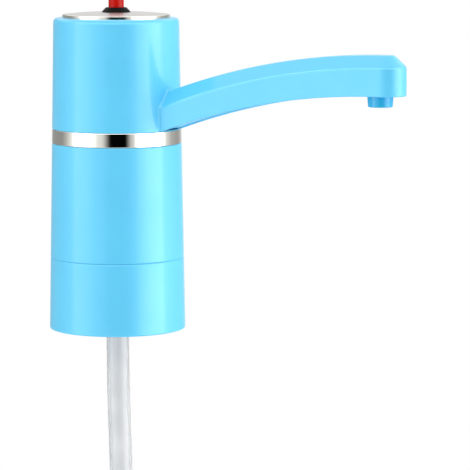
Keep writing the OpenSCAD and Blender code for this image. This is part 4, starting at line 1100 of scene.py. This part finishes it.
def spout_plan(start):
    """Spine of the spout's plan as base points and outward directions.

    It runs from start along one side, round the half circle of the nose, and back along the other side.
    """
    x = np.concatenate([[start], np.linspace(root_x - 2, nose_x, 76)])
    a = np.linspace(np.pi / 2, 0, 28)[1:]
    base = np.concatenate([x, np.full(len(a), nose_x)])
    way = np.concatenate([np.tile([0.0, 1.0], (len(x), 1)), np.column_stack([np.cos(a), np.sin(a)])])
    base = np.concatenate([base, base[-2::-1]])
    way = np.concatenate([way, way[-2::-1] * [1, -1]])
    return base, way


def swept(base, way, corners, cuts, steps=6):
    """Grid of eased corners (distance from the spine, heights along it) carried along the plan's spine."""
    section = np.stack([np.column_stack([np.full(len(base), w), h]) for w, h in corners], 1)
    section = eased(section, cuts, steps)
    x = base[:, None] + section[..., 0] * way[:, :1]
    y = section[..., 0] * way[:, 1:]
    return np.stack([x, y, section[..., 1]], -1)


def root_cap(grid):
    """Loop of the flat end at the root: down one side's section and back up the other's."""
    return np.concatenate([grid[0], grid[-1, -2:0:-1]])


def spout_casing():
    """Spout shell: crown flat, chamfer, side and lower rim outside, and the same inside, less the wall.

    The section's heights follow the crown's parabola along the plan.
    """
    base, way = spout_plan(spout_in_x)
    top = spout_top(base)
    drop = spout_drop(base)
    low = top - spout_h
    inner = half_w - spout_wall
    corners = [
        (0, top), (crown_half, top), (half_w, top - drop), (half_w, low), (inner, low),
        (inner, top - drop - spout_wall / 2), (crown_half - spout_wall / 2, top - spout_wall),
        (0, top - spout_wall),
    ]
    grid = swept(base, way, corners, [0, 0.9, 1.3, 0.5, 0.3, 0, 0, 0], steps=8)
    piece = solid("spout_casing", [(grid, False, False)], [root_cap(grid)])
    across = (-flange_in_w, flange_in_w)
    plate = block_x("flange", spout_in_x, spout_in_x + flange_in_t, across, flange_in_z, 1.0)
    start, end = spout_in_x - 1, spout_in_x + 4
    carve(plate, prism("hose_room", *(spout_mouth(-spout_wall / 2, x) for x in (start, end))))
    for y in (-spout_screw_y, spout_screw_y):
        for z in spout_screw_z:
            carve(plate, rod("screw_hole", screw_hole_r, [start, y, z], [end, y, z], 32))
    carve(piece, plate, "UNION")
    dress(piece, "body_plastic", "spout_shell")


def spout_belly():
    """Cover under the spout: a plate that follows the spout's underside, with a hole for the nozzle."""
    base, way = spout_plan(spout_in_x + flange_in_t)
    low = spout_top(base) - spout_h + cover_inset
    reach = half_w - spout_wall - SLIP
    corners = [(0, low), (reach, low), (reach, low + cover_t), (0, low + cover_t)]
    grid = swept(base, way, corners, [0, 0.35, 0.2, 0])
    piece = solid("spout_belly", [(grid, False, False)], [root_cap(grid)])
    carve(piece, post("nozzle_hole", nozzle_r + SLIP, (nozzle_x, 0), nozzle_low, nozzle_top, 96))
    dress(piece, "body_plastic", "spout_cover")


def nozzle():
    """Outlet nozzle: a turned cup with a tapered mouth, a lip on the cover and a side pipe for the hose."""
    seat = nose_top - spout_h + cover_inset + cover_t
    lip_out = nozzle_r + nozzle_lip
    roof = nozzle_top - nozzle_roof
    path = np.concatenate([
        outline(
            (0, roof, 0), (nozzle_bore_r, roof, 0.3), (nozzle_bore_r, nozzle_low, 0.4),
            (nozzle_r - nozzle_taper, nozzle_low, 0.6), (nozzle_r, nose_top - spout_h, 0),
            (nozzle_r, seat, 0), (lip_out, seat, 0.1), (lip_out, seat + 1, 0.2),
            (nozzle_head_r, seat + 1, 0), (nozzle_head_r, nozzle_top, 0.3),
        ),
        [[0, nozzle_top]],
    ])
    piece = turned("nozzle", path, steps=128, centre=(nozzle_x, 0.0), pole=True)
    pipe_z = seat + pipe_rise
    carve(piece, rod("pipe", pipe_r, [nozzle_x - 15, 0, pipe_z], [nozzle_x - 5, 0, pipe_z]), "UNION")
    carve(piece, rod("pipe_bore", pipe_bore_r, [nozzle_x - 17, 0, pipe_z], [nozzle_x, 0, pipe_z]))
    # The darker blue finish is painted shade under the spout, not a different plastic
    dress(cleaned(piece), "body_plastic", "spout_nozzle", finish=finishes["nozzle_painted_shade"])


def spout_fillet():
    """Fillet where the spout leaves the body.

    It is carried along the spout's root section. Across it, a quadratic curve starts on the body a fillet's
    size away from the spout, heads for the corner and ends on the spout as far out, and the back is sunk in
    both.
    """
    loop = spout_mouth(0.0, 0.0)[:, 1:]
    path = eased(loop, [0, 1.0, 0.9, 0.9, 1.0, 0], steps=10)
    along = unit(np.gradient(path, axis=0))
    out = np.column_stack([along[:, 1], -along[:, 0]])

    def on_body(yz):
        return np.column_stack([np.sqrt(body_r(yz[:, 1]) ** 2 - yz[:, 0] ** 2), yz])

    corner = on_body(path)
    foot = on_body(path + fillet * out)
    tip = corner + [fillet, 0, 0]
    t = np.linspace(0, 1, 9)[None, :, None]
    face = (1 - t) ** 2 * foot[:, None] + 2 * t * (1 - t) * corner[:, None] + t**2 * tip[:, None]
    face[..., 2] += spout_top(face[..., 0]) - spout_top(root_x)
    inward = np.column_stack([np.zeros(len(path)), -fillet_sunk * out])
    deep = [fillet_sunk, 0, 0]
    back = np.stack([tip + inward, corner + inward - deep, foot - deep], 1)
    grid = np.concatenate([face, back], 1)
    piece = solid("spout_fillet", [(grid, False, True)], [grid[0], grid[-1]])
    dress(piece, "body_plastic")


spout_casing()
spout_belly()
nozzle()
spout_fillet()


# Neck grip


def flange_loops():
    """Inner and outer edge of the grip ring's flange, point by point round it.

    The inner edge is a circle drawn in to round lobes: near a lobe it is the lobe's circle, blended into
    the flange by a smooth step of the angle. The outer edge is stepped in at the fingers' gaps.
    """
    a = around(1440)
    pitch = 2 * np.pi / lobe_count
    off = (a - lobe_a0 + pitch / 2) % pitch - pitch / 2
    lobe_half = lobe_d / 2
    reach = np.arcsin(lobe_half / lobe_r)
    side = np.clip(np.abs(off) / reach, 0, 1)
    round_in = lobe_r * np.cos(off) - np.sqrt(np.maximum(lobe_half**2 - (lobe_r * np.sin(off)) ** 2, 0))
    root = np.clip((np.abs(off) / reach - 0.94) / 0.2, 0, 1)
    root = root * root * (3 - 2 * root)
    inner = np.where(side < 1, round_in, lobe_r * np.cos(reach)) * (1 - root) + flange_r * root
    gap = 2 * np.pi / finger_count
    turn = (a - lobe_a0 + gap / 2) % gap - gap / 2
    outer = np.where(np.abs(turn) * gap_r < finger_gap / 2, gap_r, grip_r + finger_t)
    ray = np.column_stack([np.cos(a), np.sin(a)])
    return ray, inner, outer


def finger(k):
    """One spring finger: its hooked section turned through its angle, drawn in a little at both ends."""
    gap = 2 * math.pi / finger_count
    half_gap = math.asin(finger_gap / 2 / (grip_r + finger_t))
    edge = 0.35 / grip_r
    start = lobe_a0 + k * gap + half_gap
    stop = start + gap - 2 * half_gap
    section = outline(
        (grip_r, 0.6, 0), (grip_r, -finger_h + 4 * finger_hook, 0.5),
        (grip_r - finger_hook, -finger_h + 2 * finger_hook, 0.25),
        (grip_r - finger_hook, -finger_h + finger_hook, 0.25), (grip_r, -finger_h, 0.3),
        (grip_r + finger_t, -finger_h, 0.4), (grip_r + finger_t, 0.6, 0),
    )
    angles = np.concatenate([[start, start + 0.3 * edge, start + edge],
                             np.linspace(start + 2 * edge, stop - 2 * edge, 40),
                             [stop - edge, stop - 0.3 * edge, stop]])
    grid = lathe(section, 0, angles=angles)
    middle = section.mean(0)
    for row, share in ((0, 0.8), (1, 0.93), (-1, 0.8), (-2, 0.93)):
        small = middle + (section - middle) * [share, 1]
        grid[row] = lathe(small, 0, angles=angles[[row]])[0]
    return grid


def neck_grip():
    """Black grip ring: the flange with its lobes, joined by its fingers, with a hole in each lobe."""
    ray, inner, outer = flange_loops()
    edge = 0.3
    levels = [
        (inner + edge, 0), (inner, edge), (inner, flange_t - 0.1), (inner + 0.1, flange_t),
        (outer, flange_t), (outer, 0),
    ]
    grid = np.stack([level(r[:, None] * ray, z) for r, z in levels], 1)
    piece = solid("neck_grip", [(grid, True, True)])
    for k in range(finger_count):
        rows = finger(k)
        carve(piece, solid("finger", [(rows, False, True)], [rows[0], rows[-1]]), "UNION")
    for a in lobe_angles:
        carve(piece, post("lobe_hole", lobe_hole_r, polar(lobe_r, a), -1, flange_t + 1))
    dress(cleaned(piece), "black_plastic", "grip_ring")


def pan_screws():
    """Pan-head screws: a domed head with a cross recess, on a shank.

    The head's face is a polar grid. Its height falls with the fourth power of the radius, and it is pressed
    in where the point lies inside either bar of the cross, with steep sides.
    """
    a = around(160)[:, None]
    r = np.concatenate([np.linspace(0, 2.0, 30), np.linspace(2.05, head_r, 10)])
    x, y = r * np.cos(a), r * np.sin(a)

    def bar(u, v):
        u = np.clip((cross_l / 2 - np.abs(u)) / 0.25, 0, 1)
        v = np.clip((cross_w / 2 - np.abs(v)) / 0.2, 0, 1)
        return np.minimum(u, v)

    dome = -head_h + 0.75 * (r / head_r) ** 4 + cross_depth * np.maximum(bar(x, y), bar(y, x))
    face = np.stack([x, y, np.broadcast_to(dome, x.shape)], -1)
    rest = np.array([
        [head_r, -head_h + 0.9], [head_r, 0], [shank_r, 0], [shank_r, shank_top], [0, shank_top],
    ])
    one = np.concatenate([face, lathe(rest, 160)], 1)
    grids = []
    for k, a in enumerate(lobe_angles):
        grids.append((spun(spun(one, 0.5 + k) + [lobe_r, 0, 0], a), True, False))
    piece = solid("pan_screws", grids, sharp=40)
    dress(piece, "steel", "grip_screws")


neck_grip()
pan_screws()


# Charging port


def charge_port():
    """Socket in the back: a barrel turned about a line along X, with a pin in it, joined to its block."""
    deep = jack_back_x - jack_face_x - 0.2
    path = outline(
        (0, 1.0, 0), (jack_pin_r, 1.0, 0.3), (jack_pin_r, jack_bore_l, 0), (jack_bore_r, jack_bore_l, 0),
        (jack_bore_r, 0, 0.35), (jack_r, 0, 0.3), (jack_r, deep, 0), (0, deep, 0),
    )
    one = lathe(path, 96)
    barrel = np.stack([jack_face_x + one[..., 2], one[..., 0], jack_z + one[..., 1]], -1)
    piece = solid("charge_port", [(barrel, True, False)])
    length, wide, tall = jack_body
    heights = (jack_z - tall / 2, jack_z + tall / 2)
    block = block_x("block", jack_back_x - length, jack_back_x, (-wide / 2, wide / 2), heights, 0.3)
    ends = [jack_face_x - 1, 0, jack_z], [jack_face_x + jack_bore_l + SINK, 0, jack_z]
    carve(block, rod("bore", jack_r - SINK, *ends))
    carve(piece, block, "UNION")
    dress(piece, "black_plastic", "charge_jack")
    centre = face_centres(piece)
    reach = np.hypot(centre[:, 1], centre[:, 2] - jack_z)
    pin = (reach < jack_pin_r + 0.02) & (centre[:, 0] < jack_face_x + jack_bore_l)
    second_finish(piece, finishes["steel"], pin)


charge_port()


# Solids that stay as they are

shown = {n for o in bpy.data.objects for n in o.get("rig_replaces", [])}
for part in frame["record"]["subparts"]:
    if part["node"] not in shown:
        mesh = frame["nodes"][part["node"]].data
        mesh.materials.clear()
        mesh.materials.append(finishes[part["material_slot"]])
